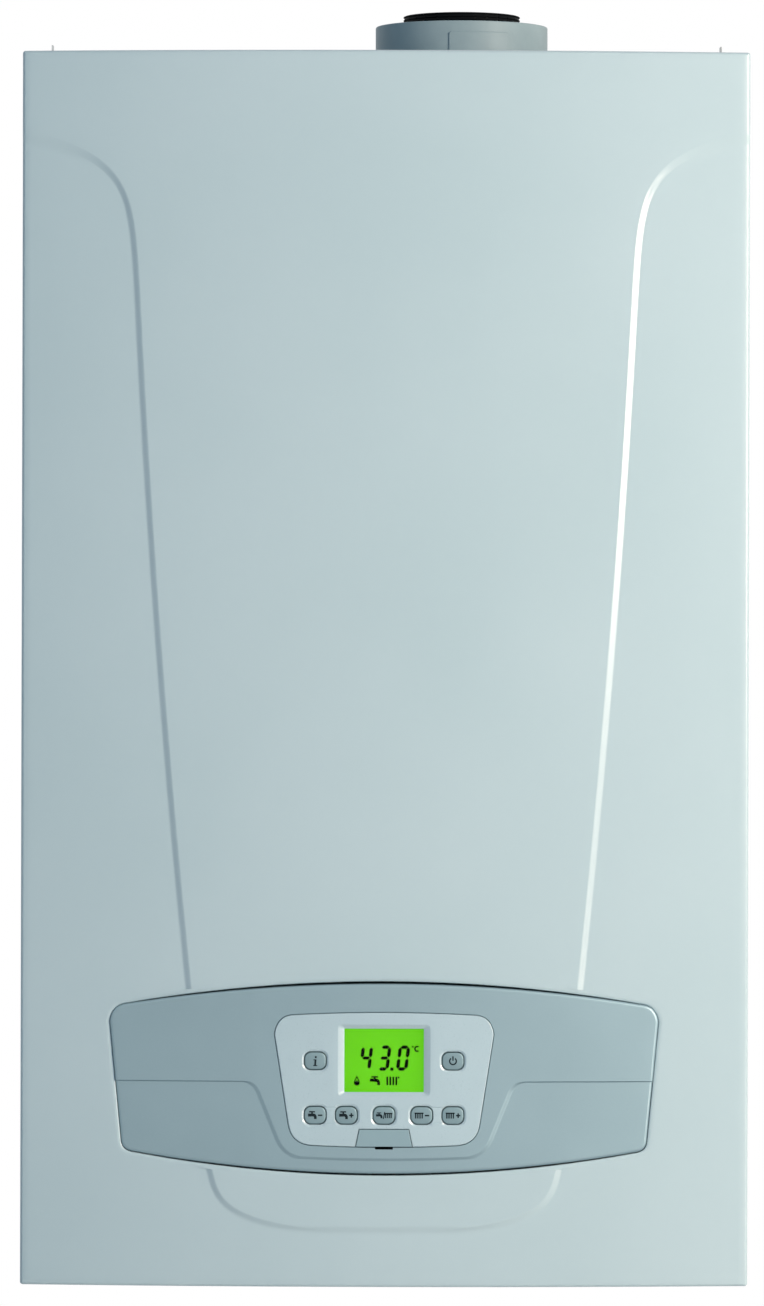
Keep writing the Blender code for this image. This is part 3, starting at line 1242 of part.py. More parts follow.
def add_fascia(grey):
    fascia = add_object("fascia", bowed_mesh(
        *fascia_chains(), lambda x: FASCIA_FRONT_Y + panel_bow(x), lambda x: FASCIA_REAR_Y,
    ), grey, smooth_angle=30)
    combine(fascia, bowed_mesh(
        *fascia_chains(-FASCIA_WALL),
        lambda x: FASCIA_FRONT_Y + FASCIA_WALL + panel_bow(x), lambda x: FASCIA_REAR_Y + 0.01,
    ), "DIFFERENCE")
    wing = [(-FASCIA_HALF_TOP - 0.01, WING_TOP_Z)]
    wing += bend(
        (-TONGUE_HALF_TOP - TONGUE_ROUND, WING_TOP_Z), (-TONGUE_HALF_TOP, WING_TOP_Z),
        (-TONGUE_HALF_TOP + 0.4 * TONGUE_ROUND, WING_TOP_Z - TONGUE_ROUND), 4,
    )
    wing += bend(
        (-TONGUE_HALF_BOTTOM - 0.8 * TONGUE_ROUND, TONGUE_BOTTOM_Z + 1.9 * TONGUE_ROUND),
        (-TONGUE_HALF_BOTTOM, TONGUE_BOTTOM_Z),
        (-TONGUE_HALF_BOTTOM + 1.6 * TONGUE_ROUND, TONGUE_BOTTOM_Z), 4,
    )
    wing = wing + [(0.0, TONGUE_BOTTOM_Z - TONGUE_SAG)] + [(-x, z) for x, z in reversed(wing)]
    floor = [(point[0], FASCIA_BOTTOM_Z - 0.01) for point in (wing[0], wing[-1])]
    wings = bowed_mesh(
        wing, floor, lambda x: FASCIA_FRONT_Y - 0.01, lambda x: FASCIA_FRONT_Y + WING_DEPTH + panel_bow(x),
    )
    combine(fascia, wings, "DIFFERENCE")
    seat_depth = PLATE_FRONT_Y + PLATE_THICKNESS + GAP
    seat = bowed_mesh(*plate_chains(GAP), lambda x: PLATE_FRONT_Y - 0.01, lambda x: seat_depth + panel_bow(x))
    combine(fascia, seat, "DIFFERENCE")
    finger_slot = box_mesh(
        (-FLAP_SLOT_WIDTH / 2, PLATE_FRONT_Y - 0.01, PLATE_BOTTOM_Z - GAP - FLAP_SLOT_HEIGHT),
        (FLAP_SLOT_WIDTH / 2, seat_depth, PLATE_BOTTOM_Z + FLAP_SLOT_HEIGHT),
    )
    combine(fascia, finger_slot, "DIFFERENCE")
    window = box_mesh(
        (-KEY_UPPER_X - KEY_WIDTH / 2 - PLATE_SEAT_BORDER / 2, PLATE_FRONT_Y - 0.01,
         KEY_LOWER_Z - KEY_HEIGHT / 2 - PLATE_SEAT_BORDER / 2),
        (KEY_UPPER_X + KEY_WIDTH / 2 + PLATE_SEAT_BORDER / 2, FASCIA_REAR_Y,
         DISPLAY_Z + DISPLAY_HEIGHT / 2 + PLATE_SEAT_BORDER),
    )
    combine(fascia, window, "DIFFERENCE")
    return fascia


def key_places():
    return {
        "information_button": (-KEY_UPPER_X, KEY_UPPER_Z),
        "power_button": (KEY_UPPER_X, KEY_UPPER_Z),
        "hot_water_minus_button": (-KEY_UPPER_X, KEY_LOWER_Z),
        "hot_water_plus_button": (-KEY_INNER_X, KEY_LOWER_Z),
        "mode_button": (0.0, KEY_LOWER_Z),
        "heating_minus_button": (KEY_INNER_X, KEY_LOWER_Z),
        "heating_plus_button": (KEY_UPPER_X, KEY_LOWER_Z),
    }


def flap_outline(grow, drop=0.0):
    """Outline of the flap, or of its notch when it is grown and drawn further down."""
    low = PLATE_BOTTOM_Z + FLAP_EDGE - drop
    slope = (FLAP_HALF_BOTTOM - FLAP_HALF_TOP) / (FLAP_TOP_Z - PLATE_BOTTOM_Z - FLAP_EDGE)
    half_low = FLAP_HALF_TOP + grow + slope * (FLAP_TOP_Z + grow - low)
    return [
        (-FLAP_HALF_TOP - grow, FLAP_TOP_Z + grow), (FLAP_HALF_TOP + grow, FLAP_TOP_Z + grow),
        (half_low, low), (-half_low, low),
    ]


def add_controls(light, key_grey, glass, screen, green, clear_grey):
    back_y = PLATE_FRONT_Y + PLATE_THICKNESS
    plate = add_object("control_plate", bowed_mesh(
        *plate_chains(), lambda x: PLATE_FRONT_Y + panel_bow(x), lambda x: back_y + panel_bow(x),
    ), light, smooth_angle=30)
    cuts = bmesh.new()
    for x, z in key_places().values():
        outline = rounded_rectangle(
            KEY_WIDTH + 2 * KEY_CLEARANCE, KEY_HEIGHT + 2 * KEY_CLEARANCE, KEY_CORNER + KEY_CLEARANCE, (x, z),
        )
        prism_mesh(outline, PLATE_FRONT_Y - 0.01, back_y + 0.01, cuts)
    half_w, half_h = DISPLAY_WIDTH / 2, DISPLAY_HEIGHT / 2
    loops = []
    for y, spread in (
        (PLATE_FRONT_Y - 0.002, DISPLAY_BEZEL + 0.0034), (back_y - 0.0006, 0.0), (back_y + 0.004, 0.0),
    ):
        loops.append([
            cuts.verts.new((sx * (half_w + spread), y, DISPLAY_Z + sz * (half_h + spread)))
            for sx, sz in ((-1, -1), (1, -1), (1, 1), (-1, 1))
        ])
    for first, second in zip(loops, loops[1:]):
        for k in range(4):
            n = (k + 1) % 4
            cuts.faces.new([first[k], first[n], second[n], second[k]])
    cuts.faces.new(loops[0])
    cuts.faces.new(loops[-1])
    prism_mesh(flap_outline(FLAP_CLEARANCE, 0.01), PLATE_FRONT_Y - 0.01, back_y + 0.01, cuts)
    combine(plate, cuts, "DIFFERENCE")
    channels = bmesh.new()
    for side in (-1, 1):
        xs = sorted((side * KEY_INNER_X, side * KEY_UPPER_X))
        depth = PLATE_FRONT_Y + panel_bow((KEY_INNER_X + KEY_UPPER_X) / 2) + KEY_CHANNEL_DEPTH
        box_mesh(
            (xs[0], PLATE_FRONT_Y - 0.01, KEY_LOWER_Z - KEY_CHANNEL_HEIGHT / 2),
            (xs[1], depth, KEY_LOWER_Z + KEY_CHANNEL_HEIGHT / 2), channels,
        )
    combine(plate, channels, "DIFFERENCE")

    for name, (x, z) in key_places().items():
        add_key(name, x, z, back_y, key_grey)

    lens_front = back_y + GAP + panel_bow(half_w + LENS_BORDER)
    lens_back = lens_front + LENS_THICKNESS
    add_object("display_lens", box_mesh(
        (-half_w - LENS_BORDER, lens_front, DISPLAY_Z - half_h - LENS_BORDER),
        (half_w + LENS_BORDER, lens_back, DISPLAY_Z + half_h + LENS_BORDER),
    ), glass)
    board_front = lens_back + 2 * GAP + MODULE_THICKNESS
    add_object("display_module", box_mesh(
        (-half_w - LENS_BORDER, lens_back + GAP, DISPLAY_Z - half_h - LENS_BORDER),
        (half_w + LENS_BORDER, lens_back + GAP + MODULE_THICKNESS, DISPLAY_Z + half_h + LENS_BORDER),
    ), screen)
    board_z = (PLATE_TOP_Z + PLATE_BOTTOM_Z) / 2
    add_object("control_board", box_mesh(
        (-BOARD_WIDTH / 2, board_front, board_z - BOARD_HEIGHT / 2),
        (BOARD_WIDTH / 2, board_front + BOARD_THICKNESS, board_z + BOARD_HEIGHT / 2),
    ), green)
    add_control_box(board_front + BOARD_THICKNESS + GAP, board_z, clear_grey)

    hinge_y = PLATE_FRONT_Y + FLAP_THICKNESS / 2
    hinge_z = FLAP_TOP_Z - FLAP_THICKNESS / 2
    add_object("service_flap", prism_mesh(
        flap_outline(0.0), PLATE_FRONT_Y, PLATE_FRONT_Y + FLAP_THICKNESS,
    ), key_grey, origin=(0.0, hinge_y, hinge_z))


def add_key(name, x, z, back_y, material):
    """Push button: a domed cap through the plate, a flange behind it and a plunger."""
    offset = panel_bow(abs(x))
    front = PLATE_FRONT_Y - KEY_PROUD + offset
    flange_front = back_y + panel_bow(abs(x) + KEY_WIDTH / 2 + KEY_FLANGE) + GAP
    flange_back = flange_front + KEY_FLANGE_THICKNESS
    edge = 0.3 * KEY_ROUND
    sections = (
        (front, KEY_WIDTH - 2 * KEY_ROUND, KEY_HEIGHT - 2 * KEY_ROUND, KEY_CORNER - KEY_ROUND),
        (front + edge, KEY_WIDTH - 2 * edge, KEY_HEIGHT - 2 * edge, KEY_CORNER - edge),
        (front + KEY_ROUND, KEY_WIDTH, KEY_HEIGHT, KEY_CORNER),
        (flange_front, KEY_WIDTH, KEY_HEIGHT, KEY_CORNER),
        (flange_front, KEY_WIDTH + 2 * KEY_FLANGE, KEY_HEIGHT + 2 * KEY_FLANGE, KEY_CORNER),
        (flange_back, KEY_WIDTH + 2 * KEY_FLANGE, KEY_HEIGHT + 2 * KEY_FLANGE, KEY_CORNER),
        (flange_back, 0.006, 0.006, 0.002),
        (back_y + 0.0064 + offset, 0.006, 0.006, 0.002),
    )
    mesh_data = bmesh.new()
    loops = []
    for y, width, height, corner in sections:
        loops.append([
            mesh_data.verts.new((px, y, pz))
            for px, pz in rounded_rectangle(width, height, corner, (x, z), 3)
        ])
    for first, second in zip(loops, loops[1:]):
        for k in range(len(first)):
            n = (k + 1) % len(first)
            mesh_data.faces.new([first[k], first[n], second[n], second[k]])
    mesh_data.faces.new(loops[0])
    mesh_data.faces.new(loops[-1])
    add_object(name, mesh_data, material, origin=(x, front, z), smooth_angle=30)


def add_control_box(board_back, board_z, material):
    front = FASCIA_REAR_Y + GAP
    back = front + CONTROL_BOX_DEPTH
    tray = add_object("control_box", bowed_mesh(
        *fascia_chains(0.0), lambda x: front, lambda x: back,
    ), material, smooth_angle=30)
    arm_z = (FASCIA_TOP_Z + FASCIA_BOTTOM_Z) / 2
    inner_x = HALF_WIDTH - SHEET - GAP
    combine(tray, box_mesh(
        (-inner_x, back - CONTROL_BOX_ARM_THICKNESS, arm_z - CONTROL_BOX_ARM_HEIGHT / 2),
        (inner_x, back + 0.0005, arm_z + CONTROL_BOX_ARM_HEIGHT / 2),
    ), "UNION")
    combine(tray, bowed_mesh(
        *fascia_chains(-CONTROL_BOX_WALL), lambda x: front - 0.01, lambda x: back - CONTROL_BOX_WALL,
    ), "DIFFERENCE")
    posts = bmesh.new()
    post_x = BOARD_WIDTH / 2 - 2 * POST_RADIUS
    post_z = BOARD_HEIGHT / 2 - 2 * POST_RADIUS
    for sx in (-1, 1):
        for sz in (-1, 1):
            spot = (sx * post_x, board_z + sz * post_z)
            cylinder_mesh("Y", spot, POST_RADIUS, board_back, back - CONTROL_BOX_WALL / 2, SIDES_TINY, posts)
    combine(tray, posts, "UNION")


def main():
    remove_scene_objects()
    painted = make_material("painted_steel", (0.52, 0.62, 0.65), 0.35)
    steel = make_material("galvanised_steel", (0.55, 0.56, 0.57), 0.4, 0.9)
    foam = make_material("foam_rubber", (0.03, 0.03, 0.03), 0.9)
    cast = make_material("cast_aluminium", (0.40, 0.46, 0.48), 0.45, 0.6)
    alloy = make_material("drum_aluminium", (0.60, 0.61, 0.62), 0.4, 0.9)
    rubber = make_material("black_rubber", (0.012, 0.014, 0.016), 0.6)
    white_plastic = make_material("white_plastic", (0.80, 0.80, 0.78), 0.4)
    red_paint = make_material("red_enamel", (0.45, 0.03, 0.02), 0.35)
    ceramic = make_material("electrode_ceramic", (0.85, 0.84, 0.80), 0.3)
    black = make_material("black_plastic", (0.02, 0.02, 0.022), 0.45)
    brass = make_material("brass", (0.60, 0.45, 0.20), 0.35, 1.0)
    pump_grey = make_material("pump_grey", (0.25, 0.26, 0.27), 0.4)
    red = make_material("red_plastic", (0.60, 0.03, 0.02), 0.4)
    copper = make_material("copper", (0.72, 0.38, 0.24), 0.3, 1.0)
    fascia_grey = make_material("fascia_plastic", (0.27, 0.38, 0.41), 0.4)
    plate_grey = make_material("plate_plastic", (0.45, 0.56, 0.58), 0.4)
    key_grey = make_material("key_plastic", (0.22, 0.31, 0.33), 0.4)
    glass = make_material("display_glass", (0.45, 0.75, 0.35), 0.1)
    screen = make_material("display_green", (0.13, 0.60, 0.03), 0.3)
    green = make_material("circuit_board_green", (0.02, 0.15, 0.06), 0.5)
    box_grey = make_material("box_plastic", (0.10, 0.11, 0.12), 0.5)

    add_front_casing(painted)
    add_casing_screw("casing_screw_left", -SCREW_X, steel)
    add_casing_screw("casing_screw_right", SCREW_X, steel)
    add_frame(steel, foam)
    add_flue(cast, white_plastic, rubber)
    add_heat_exchanger(alloy, steel, red_paint, ceramic)
    add_fan(alloy, black, white_plastic, alloy)
    add_hydraulics(brass, steel, black, pump_grey, red, copper, rubber)
    add_ports(brass)
    add_fascia(fascia_grey)
    add_controls(plate_grey, key_grey, glass, screen, green, box_grey)


main()
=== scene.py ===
import math

import bmesh
import bpy
import numpy as np
from mathutils import Matrix, Vector


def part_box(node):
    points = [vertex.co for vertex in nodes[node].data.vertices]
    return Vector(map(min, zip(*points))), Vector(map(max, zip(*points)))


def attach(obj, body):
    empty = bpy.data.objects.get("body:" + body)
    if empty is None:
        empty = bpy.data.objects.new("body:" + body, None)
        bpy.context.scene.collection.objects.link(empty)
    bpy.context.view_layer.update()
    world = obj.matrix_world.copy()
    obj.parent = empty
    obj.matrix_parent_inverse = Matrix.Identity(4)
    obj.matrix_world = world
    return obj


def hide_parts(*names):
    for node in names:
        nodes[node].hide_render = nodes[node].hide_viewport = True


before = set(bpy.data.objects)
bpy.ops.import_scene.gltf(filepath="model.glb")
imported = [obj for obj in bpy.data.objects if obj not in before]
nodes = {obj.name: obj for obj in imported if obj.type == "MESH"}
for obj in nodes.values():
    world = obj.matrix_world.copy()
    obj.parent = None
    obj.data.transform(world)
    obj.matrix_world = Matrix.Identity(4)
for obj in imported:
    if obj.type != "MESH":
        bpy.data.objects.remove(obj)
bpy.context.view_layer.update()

scene = bpy.context.scene
scene.view_settings.view_transform = "Standard"
mm = 0.001
print("frame loaded:", len(nodes), "nodes")


def linearColour(hexText):
    text = hexText.lstrip("#")
    values = [int(text[k:k + 2], 16) / 255 for k in (0, 2, 4)]
    return tuple(v / 12.92 if v <= 0.04045 else ((v + 0.055) / 1.055) ** 2.4 for v in values) + (1.0,)


def addNode(tree, kind, settings=None, inputs=None):
    # settings are the node's own properties, inputs are values or the sockets that feed it
    node = tree.nodes.new(kind)
    for name, value in (settings or {}).items():
        setattr(node, name, value)
    for name, value in (inputs or {}).items():
        if isinstance(value, bpy.types.NodeSocket):
            tree.links.new(value, node.inputs[name])
        else:
            node.inputs[name].default_value = value
    return node


def startMaterial(name, colour, roughness, metallic=0.0, **sockets):
    material = bpy.data.materials.new(name)
    material.use_nodes = True
    tree = material.node_tree
    shader = tree.nodes["Principled BSDF"]
    shader.inputs["Base Color"].default_value = linearColour(colour)
    shader.inputs["Roughness"].default_value = roughness
    shader.inputs["Metallic"].default_value = metallic
    for socketName, value in sockets.items():
        shader.inputs[socketName.replace("_", " ")].default_value = value
    material.diffuse_color = linearColour(colour)
    place = addNode(tree, "ShaderNodeTexCoord").outputs["Object"]
    return material, tree, shader, place


def varyColour(tree, shader, place, colours, patternSize, detail):
    # two close tones drift over the surface; patternSize is in metres
    noise = addNode(tree, "ShaderNodeTexNoise", inputs={
        "Vector": place, "Scale": 1 / patternSize, "Detail": detail,
    })
    ramp = addNode(tree, "ShaderNodeValToRGB", inputs={"Fac": noise.outputs["Fac"]})
    for stop, position, colour in zip(ramp.color_ramp.elements, (0.35, 0.65), colours):
        stop.position = position
        stop.color = linearColour(colour)
    tree.links.new(ramp.outputs["Color"], shader.inputs["Base Color"])
    return noise


def finishSkin(tree, shader, gloss=None, relief=None):
    # gloss is the pattern that varies the roughness, with its least and most
    # relief is the pattern that stands out, with its depth and strength
    if gloss:
        pattern, low, high = gloss
        span = addNode(tree, "ShaderNodeMapRange", inputs={"Value": pattern, "To Min": low, "To Max": high})
        tree.links.new(span.outputs["Result"], shader.inputs["Roughness"])
    if relief:
        pattern, depth, strength = relief
        bump = addNode(tree, "ShaderNodeBump", inputs={
            "Height": pattern, "Distance": depth, "Strength": strength,
        })
        tree.links.new(bump.outputs["Normal"], shader.inputs["Normal"])


def powderCoat(name, light, dark, roughness, **sockets):
    # polyester powder coat on sheet steel, sprayed and baked: satin, with a fine orange peel of about 2 mm
    material, tree, shader, place = startMaterial(name, light, roughness, **sockets)
    varyColour(tree, shader, place, (light, dark), 180 * mm, 2.0)
    peel, dust = (
        addNode(tree, "ShaderNodeTexNoise", inputs={"Vector": place, "Scale": 1 / size, "Detail": detail})
        for size, detail in ((2.2 * mm, 2.0), (14 * mm, 3.0))
    )
    finishSkin(tree, shader, (dust.outputs["Fac"], roughness - 0.04, roughness + 0.05),
               (peel.outputs["Fac"], 0.012 * mm, 0.6))
    return material


def mouldedAbs(name, light, dark, roughness, grain=0.9, metallic=0.0, **sockets):
    # injection-moulded ABS with a spark-eroded grain: matt, very fine pits under 1 mm apart
    # where it is metallic it carries a silver lacquer, which brightens towards the light
    material, tree, shader, place = startMaterial(name, light, roughness, metallic, **sockets)
    varyColour(tree, shader, place, (light, dark), 60 * mm, 2.0)
    pits = addNode(tree, "ShaderNodeTexNoise", inputs={
        "Vector": place, "Scale": 1 / (grain * mm), "Detail": 3.0,
    }).outputs["Fac"]
    finishSkin(tree, shader, (pits, roughness - 0.05, roughness + 0.07), (pits, 0.010 * mm, 0.7))
    return material


def galvanisedSteel():
    # hot-dip zinc: spangles about 9 mm across, each with its own tone and gloss
    material, tree, shader, place = startMaterial("galvanisedSteel", "#b4b9bb", 0.42, 0.85)
    spangle = addNode(tree, "ShaderNodeTexVoronoi", inputs={"Vector": place, "Scale": 1 / (9 * mm)})
    tone = addNode(tree, "ShaderNodeSeparateColor", inputs={"Color": spangle.outputs["Color"]})
    ramp = addNode(tree, "ShaderNodeValToRGB", inputs={"Fac": tone.outputs["Red"]})
    for stop, colour in zip(ramp.color_ramp.elements, ("#9da3a6", "#c4c9ca")):
        stop.color = linearColour(colour)
    tree.links.new(ramp.outputs["Color"], shader.inputs["Base Color"])
    fine = addNode(tree, "ShaderNodeTexNoise", inputs={
        "Vector": place, "Scale": 1 / (1.5 * mm), "Detail": 3.0,
    })
    finishSkin(tree, shader, (tone.outputs["Green"], 0.34, 0.52), (fine.outputs["Fac"], 0.008 * mm, 0.5))
    return material


def castMetal(name, light, dark, metallic, roughness, grain=1.6, **sockets):
    # sand or die casting: a pebbled skin with grains of 1 to 2 mm
    material, tree, shader, place = startMaterial(name, light, roughness, metallic, **sockets)
    varyColour(tree, shader, place, (light, dark), 24 * mm, 4.0)
    grains = addNode(tree, "ShaderNodeTexNoise", inputs={
        "Vector": place, "Scale": 1 / (grain * mm), "Detail": 4.0,
    }).outputs["Fac"]
    finishSkin(tree, shader, (grains, roughness - 0.06, roughness + 0.10), (grains, 0.06 * mm, 0.8))
    return material


def turnedBrass():
    # machined brass: fine tool rings about 0.6 mm apart, slightly dulled
    material, tree, shader, place = startMaterial("turnedBrass", "#c9a65b", 0.30, 1.0)
    varyColour(tree, shader, place, ("#c9a65b", "#a98746"), 12 * mm, 3.0)
    rings = addNode(tree, "ShaderNodeTexWave", {"bands_direction": "Z"}, {
        "Vector": place, "Scale": 1 / (6.3 * 0.6 * mm), "Distortion": 0.6,
    })
    finishSkin(tree, shader, relief=(rings.outputs["Fac"], 0.015 * mm, 0.5))
    return material


def drawnCopper():
    # drawn copper tube: bright with darker handling marks
    material, tree, shader, place = startMaterial("drawnCopper", "#c8815c", 0.28, 1.0)
    marks = varyColour(tree, shader, place, ("#d08c66", "#9b5c40"), 16 * mm, 5.0)
    finishSkin(tree, shader, (marks.outputs["Fac"], 0.20, 0.45))
    return material


def softRubber(name, colour, roughness, grain=0.8, **sockets):
    # moulded rubber or cellular foam: dull, with a pitted surface
    material, tree, shader, place = startMaterial(name, colour, roughness, **sockets)
    pits = addNode(tree, "ShaderNodeTexNoise", inputs={
        "Vector": place, "Scale": 1 / (grain * mm), "Detail": 3.0,
    }).outputs["Fac"]
    finishSkin(tree, shader, (pits, roughness - 0.08, roughness + 0.10), (pits, 0.03 * mm, 0.8))
    return material


def glossEnamel():
    # stoved gloss enamel on pressed steel: a clear shine over an even colour
    material, tree, shader, place = startMaterial(
        "redEnamel", "#a32018", 0.25, Coat_Weight=0.3, Coat_Roughness=0.08,
    )
    drift = varyColour(tree, shader, place, ("#a8221a", "#8d1a14"), 70 * mm, 3.0)
    finishSkin(tree, shader, (drift.outputs["Fac"], 0.22, 0.34))
    return material


def litScreen():
    # backlit liquid crystal: an even green that is a little brighter at its middle
    material, tree, shader, place = startMaterial("litScreen", "#66cb1c", 0.35, Specular_IOR_Level=0.0)
    low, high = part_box("display_module")
    centre = (low + high) / 2
    shift = addNode(tree, "ShaderNodeMapping", inputs={
        "Vector": place, "Location": (-centre.x, 0.0, -centre.z),
    })
    split = addNode(tree, "ShaderNodeSeparateXYZ", inputs={"Vector": shift.outputs["Vector"]})
    flat = addNode(tree, "ShaderNodeCombineXYZ", inputs={"X": split.outputs["X"], "Z": split.outputs["Z"]})
    reach = addNode(tree, "ShaderNodeVectorMath", {"operation": "LENGTH"}, {0: flat.outputs["Vector"]})
    fade = addNode(tree, "ShaderNodeMapRange", inputs={
        "Value": reach.outputs["Value"], "From Max": 34 * mm,
    })
    ramp = addNode(tree, "ShaderNodeValToRGB", inputs={"Fac": fade.outputs["Result"]})
    for stop, colour in zip(ramp.color_ramp.elements, ("#6ad41c", "#62c718")):
        stop.color = linearColour(colour)
    tree.links.new(ramp.outputs["Color"], shader.inputs["Emission Color"])
    shader.inputs["Emission Strength"].default_value = 0.86
    shader.inputs["Base Color"].default_value = linearColour("#2c5a0c")
    return material


def plainTone(name, colour, roughness, **sockets):
    # small trim: one tone, broken by a faint speckle
    material, tree, shader, place = startMaterial(name, colour, roughness, **sockets)
    specks = addNode(tree, "ShaderNodeTexNoise", inputs={
        "Vector": place, "Scale": 1 / (0.7 * mm), "Detail": 2.0,
    })
    finishSkin(tree, shader, (specks.outputs["Fac"], roughness - 0.04, roughness + 0.06))
    return material


finish = {
    "casing": powderCoat("casingPowderCoat", "#b0c7cd", "#acc4ca", 0.30, Coat_Weight=0.8,
                         Coat_Roughness=0.18),
    "fascia": mouldedAbs("fasciaSilverLacquer", "#8aa3ac", "#87a0a9", 0.5, metallic=0.75, Coat_Weight=0.4,
                         Coat_Roughness=0.16),
    "plate": mouldedAbs("controlPlateAbs", "#acc5cd", "#a9c2ca", 0.28, Coat_Weight=0.8, Coat_Roughness=0.16),
    "key": mouldedAbs("keySilverLacquer", "#8099a0", "#7d969d", 0.45, 0.7, 0.75),
    "flap": mouldedAbs("flapSilverLacquer", "#8ca6ae", "#89a3ab", 0.48, 0.7, 0.75),
    "ink": plainTone("keyInk", "#18252a", 0.5, Specular_IOR_Level=0.1),
    "zinc": galvanisedSteel(),
    "collar": castMetal("collarCasting", "#90a5ab", "#889da3", 0.0, 0.46, 1.2, Specular_IOR_Level=0.25),
    "alloy": castMetal("drumCasting", "#b6b9ba", "#a3a7a9", 0.85, 0.42),
    "rubber": softRubber("sealRubber", "#05090c", 0.6, Specular_IOR_Level=0.1),
    "foam": softRubber("cellularFoam", "#1d1f20", 0.85, 1.4),
    "white": mouldedAbs("ductPolypropylene", "#e4e5e1", "#dcddd8", 0.32),
    "enamel": glossEnamel(),
    "ceramic": plainTone("electrodeCeramic", "#ece9e0", 0.22, Coat_Weight=0.4),
    "black": mouldedAbs("blackNylon", "#1b1c1e", "#151618", 0.45, 0.8),
    "brass": turnedBrass(),
    "grey": mouldedAbs("greyNylon", "#55585a", "#4d5052", 0.5),
    "red": mouldedAbs("redNylon", "#b01f18", "#a01a14", 0.35, 0.8),
    "copper": drawnCopper(),
    "screen": litScreen(),
    "glass": plainTone("displayWindow", "#ffffff", 0.05, Transmission_Weight=1.0, IOR=1.12),
    "segment": plainTone("segmentInk", "#030602", 0.6, Specular_IOR_Level=0.0),
    "board": plainTone("boardResist", "#0f5a2c", 0.35),
    "boxPlastic": mouldedAbs("controlBoxAbs", "#33363a", "#2c2f33", 0.5),
}
print("materials made:", len(finish))


def newObject(name, data):
    made = bpy.data.objects.new(name, data)
    scene.collection.objects.link(made)
    return made


def plainMesh(drawn, name="drawn"):
    mesh = bpy.data.meshes.new(name)
    drawn.to_mesh(mesh)
    drawn.free()
    return mesh


def evaluatedMesh(worker):
    # applies a worker object's modifiers and removes the worker
    graph = bpy.context.evaluated_depsgraph_get()
    mesh = bpy.data.meshes.new_from_object(worker.evaluated_get(graph))
    bpy.data.objects.remove(worker)
    return mesh


def putPiece(name, mesh, finishName, body, replaced, smoothAngle):
    # every finished piece comes through here: one object at the origin, its place in its mesh
    # flat ink has no smoothAngle
    mesh.name = name
    mesh.materials.clear()
    mesh.materials.append(finish[finishName])
    if smoothAngle is not None:
        mesh.shade_smooth()
        mesh.set_sharp_from_angle(angle=math.radians(smoothAngle))
        # broad faces keep their own direction next to the small faces of a rounded edge
        worker = newObject("worker", mesh)
        worker.modifiers.new("weights", "WEIGHTED_NORMAL").keep_sharp = True
        mesh = evaluatedMesh(worker)
        mesh.name = name
    piece = newObject(name, mesh)
    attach(piece, body)
    if replaced:
        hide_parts(*replaced)


def meshFromBmesh(drawn, mergeDistance=1e-7):
    bmesh.ops.remove_doubles(drawn, verts=drawn.verts, dist=mergeDistance)
    bmesh.ops.recalc_face_normals(drawn, faces=drawn.faces)
    return plainMesh(drawn)


def cutMesh(mesh, cutter, operation="DIFFERENCE"):
    worker = newObject("worker", mesh)
    tool = newObject("tool", cutter)
    step = worker.modifiers.new("cut", "BOOLEAN")
    step.operation = operation
    step.object = tool
    result = evaluatedMesh(worker)
    bpy.data.objects.remove(tool)
    return result


def boxInto(drawn, low, high):
    centre = [(a + b) / 2 for a, b in zip(low, high)]
    size = [b - a for a, b in zip(low, high)]
    bmesh.ops.create_cube(drawn, size=1.0, matrix=Matrix.Translation(centre) @ Matrix.Diagonal((*size, 1.0)))


def boxPairInto(drawn, x, half, frontY, backY, lowZ, highZ):
    # the same box at the left and at the right
    for side in (-1, 1):
        boxInto(drawn, (side * x - half, frontY, lowZ), (side * x + half, backY, highZ))


def loftInto(drawn, loops, closed=False):
    # skins a list of loops of points, one after another
    # a closed skin returns to the first loop, an open one is capped at both ends
    rings = [[drawn.verts.new(point) for point in loop] for loop in loops]
    for first, second in zip(rings, rings[1:] + rings[:1] if closed else rings[1:]):
        for k in range(len(first)):
            n = (k + 1) % len(first)
            drawn.faces.new([first[k], first[n], second[n], second[k]])
    if not closed:
        drawn.faces.new(rings[0])
        drawn.faces.new(list(reversed(rings[-1])))


def prismInto(drawn, outline, frontY, backY):
    loftInto(drawn, [[(x, y, z) for x, z in outline] for y in (frontY, backY)])


def turnedMesh(profile, x, y, sides=144):
    # turns a closed profile of (radius, height) about the upright line through x and y
    turns = [math.tau * k / sides for k in range(sides)]
    drawn = bmesh.new()
    loftInto(drawn, [[(x + radius * math.cos(turn), y + radius * math.sin(turn), height) for turn in turns]
                     for radius, height in profile], closed=True)
    return meshFromBmesh(drawn)


def roundedProfile(points, radius, steps):
    # rounds the inner corners of an open profile by an arc-like curve
    result = [points[0]]
    for before, corner, after in zip(points, points[1:], points[2:]):
        a, b, c = Vector(before), Vector(corner), Vector(after)
        reach = min(radius, (a - b).length * 0.45, (c - b).length * 0.45)
        start = b + (a - b).normalized() * reach
        end = b + (c - b).normalized() * reach
        for k in range(steps + 1):
            t = k / steps
            result.append(tuple(start * (1 - t) ** 2 + b * 2 * t * (1 - t) + end * t * t))
    result.append(points[-1])
    return result


def roundedRectangle(width, height, corner, centre, steps=10):
    points = []
    for turn, (sx, sz) in enumerate(((1, 1), (-1, 1), (-1, -1), (1, -1))):
        cx = centre[0] + sx * (width / 2 - corner)
        cz = centre[1] + sz * (height / 2 - corner)
        for k in range(steps + 1):
            angle = math.pi / 2 * (turn + k / steps)
            points.append((cx + corner * math.cos(angle), cz + corner * math.sin(angle)))
    return points


def grownRectangles(width, height, centre, rows):
    # rows of y, growth of the width and of the height on each side and the corner, these three in millimetres
    return [(y, roundedRectangle(width + 2 * sideways * mm, height + 2 * upwards * mm, corner * mm, centre))
            for y, sideways, upwards, corner in rows]


